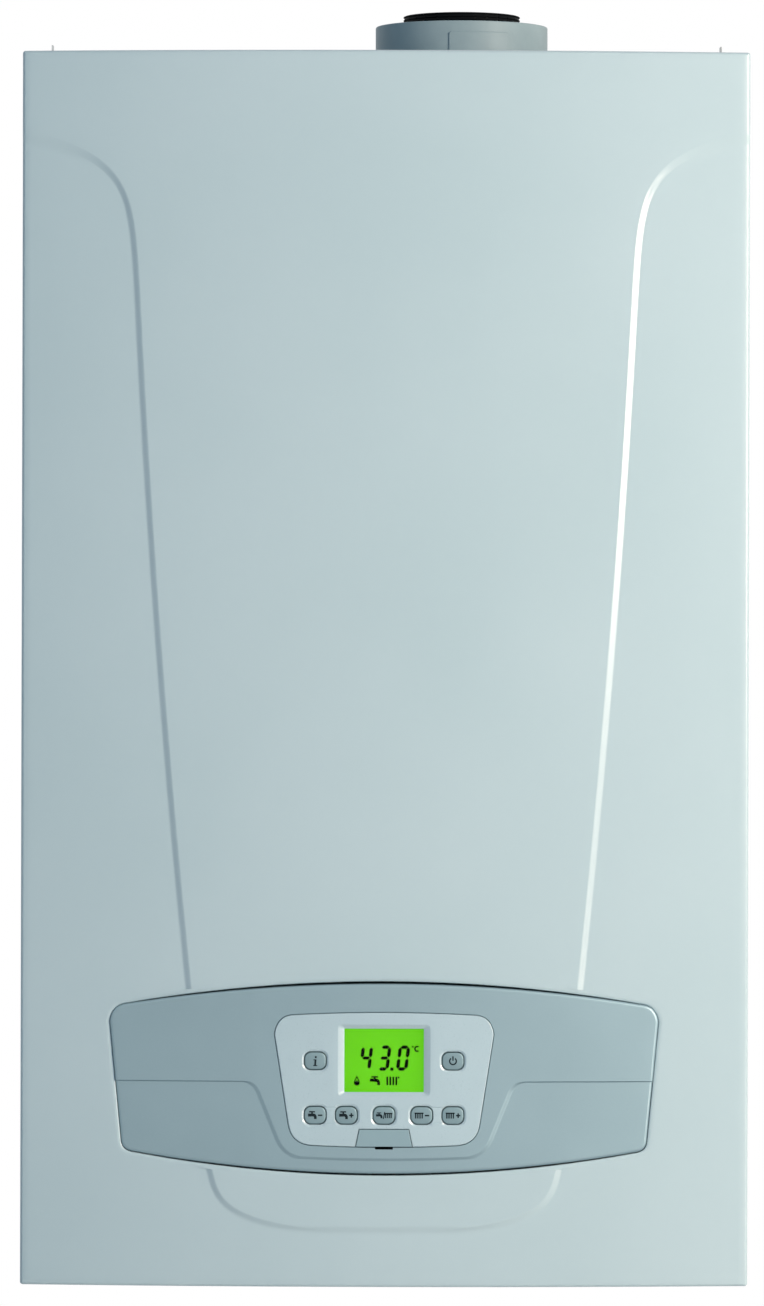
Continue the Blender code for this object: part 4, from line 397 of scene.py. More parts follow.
def smoothStep(value):
    t = np.clip(value, 0.0, 1.0)
    return t * t * (3 - 2 * t)


def bow(x):
    return 13 * mm * (x / (225 * mm)) ** 2


def panelBow(x):
    # the ends of the fascia and the plate sweep back further than the casing
    return bow(x) + 3 * mm * (x / (169.5 * mm)) ** 2


def embossHalf(z):
    # half width of the raised middle of the casing's front, a curve in metres that flares at both ends
    below = 0.2624 - z
    half = 0.1551 - 0.0446 * below - 0.0650 * below * np.abs(below)
    half = half + 0.0046 * np.exp((z - 0.2885) / 0.0157)
    return half - 0.002 * np.exp((-0.3186 - z) / 0.0085)


casing = {
    "halfWidth": 225 * mm, "halfHeight": 381.5 * mm, "frontY": -342 * mm, "splitY": -300 * mm,
    "sheet": 1 * mm, "edgeRound": 1.8 * mm, "crownReach": 6 * mm, "crownDepth": 0.5 * mm,
    "embossDepth": 1.5 * mm, "embossSlope": 5.0 * mm, "embossTopZ": 332 * mm, "embossBottomZ": -346.1 * mm,
    "flangeRound": 3.0 * mm, "flangeSink": 0.9 * mm, "flangeDepth": 10 * mm,
    "softenX": (160 * mm, 60 * mm), "softenZ": (200 * mm, 80 * mm), "softening": 2.6,
    "screwX": 100 * mm, "lugX": 207 * mm,
}


def casingDepth(x, z):
    # y of the front's outer surface, before the rounded edges of the sheet
    # the step softens towards the two upper corners
    (startX, reachX), (startZ, reachZ) = casing["softenX"], casing["softenZ"]
    soft = smoothStep((np.abs(x) - startX) / reachX) * smoothStep((z - startZ) / reachZ)
    slope = casing["embossSlope"] * (1 + casing["softening"] * soft)
    half = embossHalf(z)
    lean = (embossHalf(z + 0.5 * mm) - embossHalf(z - 0.5 * mm)) / mm
    side = smoothStep((half - np.abs(x)) / np.sqrt(1 + lean ** 2) / slope + 0.5)
    top = smoothStep((z - casing["embossTopZ"]) / slope + 0.5)
    bottom = smoothStep((z - casing["embossBottomZ"]) / slope + 0.5)
    raised = 1 - (1 - top) * (1 - side * bottom)
    return casing["frontY"] + bow(x) + casing["embossDepth"] * (1 - raised)


def evenRuns(start, *runs):
    # values after start, run by run; a run is its end and its count, which includes where it starts
    parts = []
    for end, count in runs:
        parts.append(np.linspace(start, end, count)[1:])
        start = end
    return np.concatenate(parts)


def casingShell(inset, edgeSteps, rowSteps, columnSteps):
    # closed block under the front, drawn row by row so that its columns follow the embossed ridge
    edge = casing["edgeRound"] - inset
    crown = casing["crownReach"] - inset
    reachX = casing["halfWidth"] - inset
    reachZ = casing["halfHeight"] - inset
    turn = np.sin(np.linspace(math.pi / 2, 0, edgeSteps + 1))
    # rows lie closer where the ridge turns, above flareTop and below flareLow
    ridgeTop, flareTop, flareLow, ridgeLow = 0.341, 0.283, -0.303, -0.354
    zs = np.concatenate([
        reachZ - edge + edge * turn,
        evenRuns(
            reachZ - edge, (reachZ - crown, 5), (ridgeTop, rowSteps), (flareTop, rowSteps * 7),
            (flareLow, rowSteps * 9), (ridgeLow, rowSteps * 6), (crown - reachZ, rowSteps),
            (edge - reachZ, 5),
        )[:-1],
        edge - reachZ - edge * turn[::-1],
    ])
    drawn = bmesh.new()
    grid = []
    for z in zs:
        level = min(max(z, casing["embossBottomZ"]), casing["embossTopZ"])
        half = float(embossHalf(level))
        lean = float(embossHalf(level + 0.5 * mm) - embossHalf(level - 0.5 * mm)) / mm
        spread = casing["embossSlope"] / 2 * math.sqrt(1 + lean ** 2)
        limit = reachX - crown - 1 * mm
        outer = min(half + spread, limit)
        inner = min(half - spread, outer - 1 * mm)
        xs = np.concatenate([
            reachX - edge + edge * turn,
            evenRuns(reachX - edge, (reachX - crown, 5), (outer, columnSteps // 2 + 1),
                     (inner, columnSteps), (0, columnSteps + 1)),
        ])
        intoX = np.maximum(0, xs - (reachX - edge))
        intoZ = max(0.0, abs(z) - (reachZ - edge))
        # the square corner of the grid is drawn in to a round one
        into = np.maximum(intoX, intoZ)
        share = into / np.maximum(np.hypot(intoX, intoZ), 1e-9)
        heights = z - math.copysign(1.0, z) * intoZ * (1 - np.where(into > 0, share, 1.0))
        xs = xs - intoX * (1 - np.where(into > 0, share, 1.0))
        nearX = np.maximum(0, xs - (reachX - crown))
        nearZ = np.maximum(0, np.abs(heights) - (reachZ - crown))
        sink = casing["crownDepth"] * np.minimum(np.hypot(nearX, nearZ) / crown, 1.0) ** 2
        ys = casingDepth(xs, heights) + inset + sink + edge - np.sqrt(edge ** 2 - np.minimum(into, edge) ** 2)
        right = list(zip(xs, ys, heights))
        row = [(-x, y, level) for x, y, level in right[:-1]] + right[::-1]
        grid.append([drawn.verts.new(point) for point in row])
    for upper, lower in zip(grid, grid[1:]):
        for k in range(len(upper) - 1):
            drawn.faces.new([upper[k], upper[k + 1], lower[k + 1], lower[k]])
    rim = grid[0] + [row[-1] for row in grid[1:-1]] + grid[-1][::-1] + [row[0] for row in grid[-2:0:-1]]
    rearY = casing["splitY"] + (0.02 if inset else 0.0)
    back = [drawn.verts.new((vert.co.x, rearY, vert.co.z)) for vert in rim]
    for k in range(len(rim)):
        n = (k + 1) % len(rim)
        drawn.faces.new([rim[k], rim[n], back[n], back[k]])
    drawn.faces.new(back)
    return meshFromBmesh(drawn)


def cornerCurve(start, corner, end, steps):
    points = []
    for k in range(steps + 1):
        t = k / steps
        points.append(tuple(
            (1 - t) ** 2 * a + 2 * t * (1 - t) * b + t * t * c for a, b, c in zip(start, corner, end)
        ))
    return points


def panelOutline(panel, grow=0.0, cornerSteps=14, edgeSteps=24):
    # loop of a panel with an arched top and bottom, slanting sides and round corners, left side first
    def topEdge(x):
        return panel["topZ"] + grow - x * x / (2 * panel["topArc"])

    def bottomEdge(x):
        return panel["bottomZ"] - grow + x * x / (2 * panel["bottomArc"])

    sideTop = -(panel["halfTop"] + grow)
    sideBottom = -(panel["halfBottom"] + grow)
    roundTop, roundBottom = (size + grow for size in panel["corners"])
    upper = cornerCurve(
        (sideTop, topEdge(sideTop) - roundTop), (sideTop + 0.15 * roundTop, topEdge(sideTop)),
        (sideTop + roundTop, topEdge(sideTop + roundTop)), cornerSteps,
    )
    lean = (sideBottom - sideTop) / (panel["topZ"] - panel["bottomZ"])
    lower = cornerCurve(
        (sideBottom - lean * roundBottom, bottomEdge(sideBottom) + roundBottom),
        (sideBottom, bottomEdge(sideBottom)),
        (sideBottom + roundBottom, bottomEdge(sideBottom + roundBottom)), cornerSteps,
    )
    for k in range(1, edgeSteps // 2 + 1):
        x = (sideTop + roundTop) * (1 - 2 * k / edgeSteps)
        upper.append((x, topEdge(x)))
        x = (sideBottom + roundBottom) * (1 - 2 * k / edgeSteps)
        lower.append((x, bottomEdge(x)))
    upper += [(-x, z) for x, z in upper[-2::-1]]
    lower += [(-x, z) for x, z in lower[-2::-1]]
    return upper + lower[::-1]


fasciaPanel = {
    "halfTop": 169.5 * mm, "halfBottom": 162.0 * mm, "topZ": -194.2 * mm, "bottomZ": -311.3 * mm,
    "topArc": 985 * mm, "bottomArc": 930 * mm, "corners": (9 * mm, 6 * mm),
}
# the opening leaves more room above and below than at its ends
openingPanel = {
    "halfTop": 169.65 * mm, "halfBottom": 162.15 * mm, "topZ": -192.8 * mm, "bottomZ": -312.5 * mm,
    "topArc": 900 * mm, "bottomArc": 880 * mm, "corners": (9.2 * mm, 6.2 * mm),
}
platePanel = {
    "halfTop": 67.5 * mm, "halfBottom": 57.4 * mm, "topZ": -212.0 * mm, "bottomZ": -294.7 * mm,
    "topArc": 985 * mm, "bottomArc": 930 * mm, "corners": (11 * mm, 13 * mm),
}


def makeCasing():
    sheet = casing["sheet"]
    outer = casingShell(0.0, 8, 9, 12)
    shell = cutMesh(outer, casingShell(sheet, 3, 3, 4))
    # pockets behind the casing screws, cut-outs for the fascia, the screws and the lugs, then the screw slots
    pockets = bmesh.new()
    top = -casing["halfHeight"] + 4 * mm
    boxPairInto(pockets, casing["screwX"], 12 * mm, -322 * mm, casing["splitY"], -381 * mm, top + sheet)
    shell = cutMesh(shell, meshFromBmesh(pockets), "UNION")
    cuts = bmesh.new()
    bend = casing["flangeRound"]
    opening = panelOutline(openingPanel, bend)
    prismInto(cuts, opening, -360 * mm, -310 * mm)
    boxPairInto(cuts, casing["screwX"], 11 * mm, -321 * mm, -298 * mm, -390 * mm, top)
    boxPairInto(cuts, casing["lugX"], 1.5 * mm, -323 * mm, -311 * mm, 378 * mm, 385 * mm)
    shell = cutMesh(shell, meshFromBmesh(cuts))
    slots = bmesh.new()
    boxPairInto(slots, casing["screwX"], 2.6 * mm, -316.6 * mm, -298 * mm, top - mm, top + 2 * mm)
    shell = cutMesh(shell, meshFromBmesh(slots))

    # the sheet is turned inwards round the opening
    drawn = bmesh.new()
    drawn.from_mesh(shell)
    sections = []
    for k in range(10):
        angle = math.pi / 2 * k / 9
        sections.append((bend * (1 - math.sin(angle)), casing["flangeSink"] * (1 - math.cos(angle))))
    sections.append((0.0, casing["flangeDepth"]))
    sections.append((sheet, casing["flangeDepth"]))
    inner = bend - sheet
    for k in range(5):
        angle = math.pi / 2 * (1 - k / 4)
        sink = casing["flangeSink"] * (1 - math.cos(angle))
        sections.append((bend - inner * math.sin(angle), sheet + sink))
    # the loops run backwards so that the faces look outwards
    loftInto(drawn, [
        [(x, float(casingDepth(np.float64(x), np.float64(z))) + back, z)
         for x, z in reversed(panelOutline(openingPanel, out))]
        for out, back in sections
    ], closed=True)
    putPiece("frontCasing", plainMesh(drawn), "casing", "front_casing",
             ["front_casing"], 30)


makeCasing()
print("casing made")


def sliceAcross(mesh, step, reach):
    # cuts a mesh into upright strips so that it can be bent
    drawn = bmesh.new()
    drawn.from_mesh(mesh)
    for k in range(-int(reach / step), int(reach / step) + 1):
        bmesh.ops.bisect_plane(
            drawn, geom=drawn.verts[:] + drawn.edges[:] + drawn.faces[:], dist=1e-7,
            plane_co=(k * step, 0, 0), plane_no=(1, 0, 0),
        )
    drawn.to_mesh(mesh)
    drawn.free()


def bendToFront(mesh, fullUntil=None, noneFrom=None, step=5 * mm, reach=175 * mm):
    # panels are drawn flat and then follow the curve of the front; a rear rim may stay flat
    sliceAcross(mesh, step, reach)
    for vert in mesh.vertices:
        share = 1.0
        if noneFrom is not None:
            share = 1 - float(np.clip((vert.co.y - fullUntil) / (noneFrom - fullUntil), 0, 1))
        vert.co.y += panelBow(vert.co.x) * share
    mesh.update()


def runsLeft(outline):
    # true where a closed loop runs anticlockwise
    return sum(a[0] * b[1] - b[0] * a[1] for a, b in zip(outline, outline[1:] + outline[:1])) > 0


def offsetLoop(outline, inward):
    # moves a closed loop sideways along its corner normals; positive goes to the inside
    count = len(outline)
    sign = 1.0 if runsLeft(outline) else -1.0
    moved = []
    for k in range(count):
        before, here, after = (Vector(outline[(k + d) % count]) for d in (-1, 0, 1))
        first = (here - before).normalized()
        second = (after - here).normalized()
        normal = Vector((-(first.y + second.y), first.x + second.x)).normalized() * sign
        stretch = max(0.5, abs(normal.dot(Vector((-first.y, first.x)) * sign)))
        moved.append(tuple(here + normal * inward / stretch))
    return moved


def roundedPlate(outline, frontY, backY, rounding, depth=None, steps=5):
    # flat plate whose front edge is rounded over
    depth = depth or rounding
    loops = [[(x, backY, z) for x, z in outline]]
    for k in range(steps + 1):
        angle = math.pi / 2 * k / steps
        ring = offsetLoop(outline, rounding * (1 - math.cos(angle)))
        y = frontY + depth * (1 - math.sin(angle))
        loops.append([(x, y, z) for x, z in ring])
    drawn = bmesh.new()
    loftInto(drawn, loops)
    return meshFromBmesh(drawn)


controls = {
    "fasciaFront": -344.6 * mm, "fasciaRear": -322 * mm, "fasciaWall": 3 * mm, "wingDepth": 1.2 * mm,
    "wingTopZ": -254.6 * mm, "plateFront": -345.0 * mm, "plateBack": -342.8 * mm, "displayZ": -241.4 * mm,
    "displaySize": (49.0 * mm, 39.1 * mm), "keySize": (12.9 * mm, 10.4 * mm), "keyCorner": 4 * mm,
    "keyProud": 0.3 * mm, "flapTopZ": -283.9 * mm, "flapLowZ": -294.5 * mm, "flapHalfTop": 15.1 * mm,
    "flapHalfBottom": 17.3 * mm, "slotHalf": 5.5 * mm, "slotHeight": 1.2 * mm,
}
keyPlaces = {name: (x * mm, z * mm) for name, x, z in (
    ("information_button", -42.4, -241.7), ("power_button", 42.4, -241.7),
    ("hot_water_minus_button", -42.4, -275.2), ("hot_water_plus_button", -23.2, -275.2),
    ("mode_button", 0.0, -275.2),
    ("heating_minus_button", 23.2, -275.2), ("heating_plus_button", 42.4, -275.2),
)}


def loopCutter(outlines):
    # outlines is a list of (y, outline); the solid between them is taken away
    drawn = bmesh.new()
    loftInto(drawn, [[(x, y, z) for x, z in outline] for y, outline in outlines])
    return meshFromBmesh(drawn)


def makeFascia():
    c = controls
    wingLevel = c["fasciaFront"] + c["wingDepth"]
    fascia = roundedPlate(panelOutline(fasciaPanel), wingLevel, c["fasciaRear"], 2.0 * mm, depth=1.5 * mm)

    # the middle stands on a step that is short where it is level and long down the flanks of the tongue
    raised = roundedPlate(
        panelOutline(fasciaPanel, -0.02 * mm), c["fasciaFront"], wingLevel + 2 * mm, 2.0 * mm, depth=1.5 * mm,
    )
    top = c["wingTopZ"]
    wing = [(190 * mm, top), (96 * mm, top)]
    wing += cornerCurve((88 * mm, top), (80.4 * mm, top), (77.5 * mm, top - 7.0 * mm), 12)
    wing += cornerCurve((66.0 * mm, -290 * mm), (61.2 * mm, -301.2 * mm), (50 * mm, -301.5 * mm), 12)
    wing += [(x * mm, (-301.5 - 1.1 * (1 - (x / 50) ** 2)) * mm) for x in (40, 30, 20, 10, 0)]
    path = wing + [(-x, z) for x, z in wing[-2::-1]]
    lengths, sideways = [], []
    for k, point in enumerate(path):
        ahead = Vector(path[min(k + 1, len(path) - 1)]) - Vector(path[max(k - 1, 0)])
        steep = abs(ahead.y) / ahead.length
        middle = 1.3 if abs(point[0]) < 58 * mm else 0.0
        lengths.append((0.9 + 2.3 * float(smoothStep(steep * 1.3)) + middle) * mm)
        sideways.append(Vector((ahead.y, -ahead.x)).normalized() * -1)
    drawn = bmesh.new()
    loops = []
    for k in range(9):
        t = k / 8
        level = c["fasciaFront"] + c["wingDepth"] * float(smoothStep(t))
        ring = []
        for point, out, length in zip(path, sideways, lengths):
            place = Vector(point) + out * length * (t - 0.5)
            ring.append((place.x, level, place.y))
        ring += [(-190 * mm, level, -330 * mm), (190 * mm, level, -330 * mm)]
        loops.append(ring)
    loops.insert(0, [(x, -350 * mm, z) for x, _, z in loops[0]])
    loops.append([(x, wingLevel + 3 * mm, z) for x, _, z in loops[-1]])
    loftInto(drawn, loops)
    raised = cutMesh(raised, meshFromBmesh(drawn))
    fascia = cutMesh(fascia, raised, "UNION")

    cavity = panelOutline(fasciaPanel, -c["fasciaWall"])
    fascia = cutMesh(fascia, loopCutter([
        (c["fasciaFront"] + c["fasciaWall"], cavity), (c["fasciaRear"] + 5 * mm, cavity),
    ]))
    seat = panelOutline(platePanel, 0.3 * mm)
    flare = panelOutline(platePanel, 0.6 * mm)
    fascia = cutMesh(fascia, loopCutter([
        (-350 * mm, flare), (c["fasciaFront"] - 0.05 * mm, flare), (c["fasciaFront"] + 0.35 * mm, seat),
        (c["plateBack"] + 0.3 * mm, seat),
    ]))
    window = bmesh.new()
    boxInto(window, (-51.5 * mm, -350 * mm, -282.6 * mm), (51.5 * mm, -325 * mm, -218 * mm))
    fascia = cutMesh(fascia, meshFromBmesh(window))
    slot = bmesh.new()
    low = platePanel["bottomZ"] - 0.3 * mm - c["slotHeight"]
    boxInto(slot, (-c["slotHalf"], -350 * mm, low), (c["slotHalf"], -336 * mm, low + 3 * mm))
    fascia = cutMesh(fascia, meshFromBmesh(slot))
    bendToFront(fascia, -338 * mm, c["fasciaRear"] - 0.5 * mm)
    putPiece("fasciaPanel", fascia, "fascia", "root", ["fascia"], 30)


makeFascia()


def flapOutline(grow=0.0, drop=0.0):
    c = controls
    lean = (c["flapHalfBottom"] - c["flapHalfTop"]) / (c["flapTopZ"] - c["flapLowZ"])
    low = c["flapLowZ"] - drop
    top = c["flapTopZ"] + grow
    halfLow = c["flapHalfTop"] + grow + lean * (top - low)
    return [(-c["flapHalfTop"] - grow, top), (-halfLow, low), (halfLow, low), (c["flapHalfTop"] + grow, top)]


def makeControlPlate():
    c = controls
    front, back = c["plateFront"], c["plateBack"]
    plate = roundedPlate(panelOutline(platePanel), front, back, 0.55 * mm)
    plate = cutMesh(plate, loopCutter(grownRectangles(*c["displaySize"], (0.0, c["displayZ"]), (
        (front - 1.0 * mm, 5.2, 3.6, 3.6), (front - 0.001 * mm, 4.4, 2.9, 3.0),
        (front + 0.25 * mm, 3.7, 2.4, 2.6), (front + 1.5 * mm, 0.6, 0.5, 0.9),
        (back - 0.35 * mm, 0.0, 0.0, 0.4), (back + 1 * mm, 0.0, 0.0, 0.4),
    ))))
    keyWidth, keyHeight = c["keySize"]
    for first, second in (("hot_water_minus_button", "hot_water_plus_button"),
                          ("heating_minus_button", "heating_plus_button")):
        x0, x1 = keyPlaces[first][0], keyPlaces[second][0]
        centre = ((x0 + x1) / 2, keyPlaces[first][1])
        channel = []
        for y, grow in ((front - 0.6 * mm, 1.0), (front - 0.01 * mm, 0.35), (front + 0.45 * mm, 0.0)):
            height = keyHeight - 0.6 * mm + 2 * grow * mm
            channel.append((y, roundedRectangle(x1 - x0, height, 0.3 * mm, centre)))
        plate = cutMesh(plate, loopCutter(channel))
    dish = (
        (front - 0.4 * mm, 2.6, 2.6, 5.6), (front - 0.01 * mm, 1.95, 1.95, 5.2),
        (front + 0.10 * mm, 1.65, 1.65, 5.0), (front + 0.56 * mm, 0.80, 0.80, 4.5),
        (front + 0.66 * mm, 0.66, 0.66, 4.4), (back + 1 * mm, 0.66, 0.66, 4.4),
    )
    for place in keyPlaces.values():
        plate = cutMesh(plate, loopCutter(grownRectangles(keyWidth, keyHeight, place, dish)))
    notch = flapOutline(0.5 * mm, 15 * mm)
    plate = cutMesh(plate, loopCutter([(front - 2 * mm, notch), (back + 1 * mm, notch)]))
    bendToFront(plate, step=4 * mm, reach=70 * mm)
    putPiece("controlPlate", plate, "plate", "root", ["control_plate"], 30)


makeControlPlate()
print("fascia and control plate made")


def capLoops(x, z, front, steps=6):
    # rounded rim and a gently domed top, out to in
    c = controls
    width, height = c["keySize"]
    loops = []
    for back, inset in ((1.9, 0.0), (0.40, 0.0), (0.22, 0.06), (0.08, 0.20), (0.0, 0.42), (-0.04, 0.75)):
        outline = roundedRectangle(
            width - 2 * inset * mm, height - 2 * inset * mm, c["keyCorner"] - inset * mm, (x, z), 8,
        )
        loops.append([(px, front + (0.36 + back) * mm, pz) for px, pz in outline])
    last = loops[-1]
    level = last[0][1]
    for k in range(1, steps):
        share = 1 - k / steps
        y = level - 0.3 * mm * (1 - share ** 2)
        loops.append([(x + (px - x) * share, y, z + (pz - z) * share) for px, _, pz in last])
    return loops


def makeKey(name, x, z):
    front = controls["plateFront"] - controls["keyProud"]
    drawn = bmesh.new()
    loftInto(drawn, [[(px, py + panelBow(x), pz) for px, py, pz in loop] for loop in capLoops(x, z, front)])
    # flange and plunger behind the plate
    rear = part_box(name)[1].y
    boxInto(drawn, (x - 7.7 * mm, rear - 4.0 * mm, z - 6.2 * mm),
            (x + 7.7 * mm, rear - 2.9 * mm, z + 6.2 * mm))
    boxInto(drawn, (x - 3 * mm, rear - 3.0 * mm, z - 3 * mm), (x + 3 * mm, rear, z + 3 * mm))
    capName = name.replace("_", " ").title().replace(" ", "") + "Cap"
    putPiece(capName, meshFromBmesh(drawn), "key", name, [name], 40)


for keyName, (keyX, keyZ) in keyPlaces.items():
    if keyName in nodes:
        makeKey(keyName, keyX, keyZ)
print("keys made")


def inkPlate(drawn, points, front, back, x=0.0, z=0.0):
    # one flat ink shape, drawn in millimetres about x and z; its back sits in the face below it
    ordered = points if runsLeft(points) else points[::-1]
    prismInto(drawn, [(x + px * mm, z + pz * mm) for px, pz in ordered], front, back)


def block(x0, z0, x1, z1):
    # the corners of a rectangle, anticlockwise from the low left one
    return [(x0, z0), (x1, z0), (x1, z1), (x0, z1)]


def makeDisplay():
    # dark liquid-crystal shapes lie on the lit screen, behind the clear window; drawn in millimetres
    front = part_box("display_module")[0].y
    drawn = bmesh.new()

    def shape(points):
        inkPlate(drawn, points, front - 0.12 * mm, front + 0.05 * mm)

    def digit(x, z, lit, width=7.2, height=15.6):
        # seven slanted bars, named by place: top, upper sides, middle, lower sides, bottom
        bar, gap, slant = 2.15, 0.14, 0.125
        half = height / 2

        def lean(points):
            return [(x + px + slant * pz, z + pz) for px, pz in points]

        across = width / 2
        for name, level in (("top", half - bar / 2), ("middle", 0.0), ("bottom", bar / 2 - half)):
            if name in lit:
                inset = bar / 2 + gap
                edge = bar / 2 if name != "middle" else bar * 0.45
                shape(lean([
                    (-across + inset, level), (-across + inset + edge, level + edge),
                    (across - inset - edge, level + edge), (across - inset, level),
                    (across - inset - edge, level - edge), (-across + inset + edge, level - edge),
                ]))
        for name, side, start, end in (
            ("upperLeft", -1, gap, half - bar / 2), ("upperRight", 1, gap, half - bar / 2),
            ("lowerLeft", -1, bar / 2 - half, -gap), ("lowerRight", 1, bar / 2 - half, -gap),
        ):
            if name in lit:
                centre = side * (across - bar / 2)
                edge = bar / 2
                shape(lean([
                    (centre, start + gap), (centre + edge, start + edge + gap),
                    (centre + edge, end - edge - gap), (centre, end - gap),
                    (centre - edge, end - edge - gap), (centre - edge, start + edge + gap),
                ]))

    def disc(x, z, radius, steps=20):
        shape([(x + radius * math.cos(math.tau * k / steps), z + radius * math.sin(math.tau * k / steps))
               for k in range(steps)])

    def bar(x, z, width, height):
        shape(block(x - width / 2, z - height / 2, x + width / 2, z + height / 2))

    level = -240.1
    digit(-11.1, level, ("upperLeft", "middle", "upperRight", "lowerRight"))
    digit(0.1, level, ("top", "middle", "bottom", "upperRight", "lowerRight"))
    digit(11.7, level, ("top", "bottom", "upperLeft", "upperRight", "lowerLeft", "lowerRight"))
    bar(4.8, level - 6.8, 1.9, 1.9)
    # degree sign and its unit
    unitX, unitZ = 20.3, -234.4
    steps = 22
    angles = [math.radians(48 + 264 * k / steps) for k in range(steps + 1)]
    outer, inner = ([(unitX + wide * math.cos(a), unitZ + high * math.sin(a)) for a in angles]
                    for wide, high in ((1.8, 1.95), (0.85, 1.0)))
    for k in range(steps):
        shape([outer[k], outer[k + 1], inner[k + 1], inner[k]])
    disc(unitX - 2.7, unitZ + 1.3, 0.6)
    # flame
    flameX, flameZ = -16.8, -254.0
    outline = [(0.0, 3.2), (0.5, 2.1), (1.2, 0.7), (1.8, -0.8), (1.7, -2.0), (1.0, -2.9), (0.0, -3.1)]
    inner = [(0.0, 1.7), (0.25, 1.2), (0.7, 0.2), (1.05, -0.6), (0.9, -0.7), (0.4, -0.2), (0.0, 0.4)]
    parts = [(outline[k], outline[k + 1], inner[k + 1], inner[k]) for k in range(3)]
    parts.append(outline[3:] + inner[:2:-1])
    for side in (-1, 1):
        for part in parts:
            shape([(flameX + side * px, flameZ + pz) for px, pz in part])
    # tap
    tapX, tapZ = -5.6, -253.9
    bar(tapX - 0.2, tapZ + 2.2, 4.2, 0.9)
    bar(tapX - 0.2, tapZ + 1.4, 1.2, 1.2)
    shape([(tapX + px, tapZ + pz) for px, pz in (
        (-3.2, 1.1), (-3.2, -0.7), (-1.0, -0.7), (0.0, -1.0), (1.0, -0.9), (1.4, -1.5),
        (1.4, -2.9), (3.1, -2.9), (3.1, -0.9), (2.4, 0.5), (1.2, 1.1), (-1.6, 1.2))])
    # radiator, with a dot for heat demand
    for k in range(4):
        bar(2.0 + 1.85 * k, -254.2, 1.1, 5.2)
    disc(8.9, -252.1, 0.6)
    mesh = meshFromBmesh(drawn, 1e-9)
    putPiece("displaySegments", mesh, "segment", "root", (), None)


makeDisplay()


# signs of the keys, in millimetres about the middle of a key
tapSign = [
    block(-2.0, 1.75, 1.6, 2.55), block(-0.7, 0.9, 0.3, 1.8),
    [(-2.7, 1.0), (-2.7, -0.8), (-0.9, -0.8), (0.5, -0.7), (1.0, -1.1), (1.0, -2.3), (2.6, -2.3), (2.6, -0.6),
     (2.0, 0.6), (1.0, 1.05)],
]
radiatorSign = [block(-2.6 + 1.4 * k, -1.9, -1.75 + 1.4 * k, 1.9) for k in range(4)]
radiatorSign.append(block(-2.9, 1.1, 2.9, 1.9))
minusSign = [block(-1.35, -0.45, 1.35, 0.45)]
plusSign = minusSign + [block(-0.45, 0.44, 0.45, 1.4), block(-0.45, -1.4, 0.45, -0.44)]
informationSign = [
    [(-0.7, -2.7), (0.45, -2.7), (0.75, 0.9), (-0.4, 0.9)], block(-1.1, 0.35, -0.4, 0.9),
    block(-1.3, -3.2, 1.2, -2.6), block(-0.25, 1.7, 0.85, 2.9),
]


def arcSign(radius, width, fromDegrees, toDegrees, pieces=14):
    angles = [math.radians(fromDegrees + (toDegrees - fromDegrees) * k / pieces) for k in range(pieces + 1)]
    return [
        [(reach * math.cos(angle), reach * math.sin(angle)) for reach, angle in (
            (radius, a), (radius, b), (radius - width, b), (radius - width, a),
        )] for a, b in zip(angles, angles[1:])
    ]


powerSign = arcSign(2.5, 0.85, 125, 415) + [block(-0.42, 0.3, 0.42, 3.0)]


def shiftSign(sign, x, scale=1.0):
    return [[(x + px * scale, pz * scale) for px, pz in points] for points in sign]


keySigns = {
    "information_button": informationSign,
    "power_button": powerSign,
    "hot_water_minus_button": shiftSign(tapSign, -1.7) + shiftSign(minusSign, 3.1),
    "hot_water_plus_button": shiftSign(tapSign, -1.7) + shiftSign(plusSign, 3.1),
    "mode_button": shiftSign(tapSign, -2.9, 0.75) + shiftSign(radiatorSign, 2.7, 0.85)
    + [[(-0.75, -2.2), (-0.15, -2.2), (0.75, 2.2), (0.15, 2.2)]],
    "heating_minus_button": shiftSign(radiatorSign, -1.6, 0.95) + shiftSign(minusSign, 3.3),
    "heating_plus_button": shiftSign(radiatorSign, -1.6, 0.95) + shiftSign(plusSign, 3.3),
}
for keyName, sign in keySigns.items():
    if keyName in nodes:
        keyX, keyZ = keyPlaces[keyName]
        drawn = bmesh.new()
        keyFront = controls["plateFront"] - controls["keyProud"] + panelBow(keyX) + 0.05 * mm
        for points in sign:
            inkPlate(drawn, points, keyFront - 0.04 * mm, keyFront + 0.2 * mm, keyX, keyZ)
        mesh = meshFromBmesh(drawn, 1e-9)
        putPiece(keyName.split("_button")[0] + "Sign", mesh, "ink", keyName, (), None)
print("display and signs made")


def makeFlap():
    front = controls["plateFront"]
    flap = roundedPlate(flapOutline(), front, front + 1.9 * mm, 0.3 * mm)
    putPiece("serviceFlap", flap, "flap", "service_flap", ["service_flap"], 30)


makeFlap()


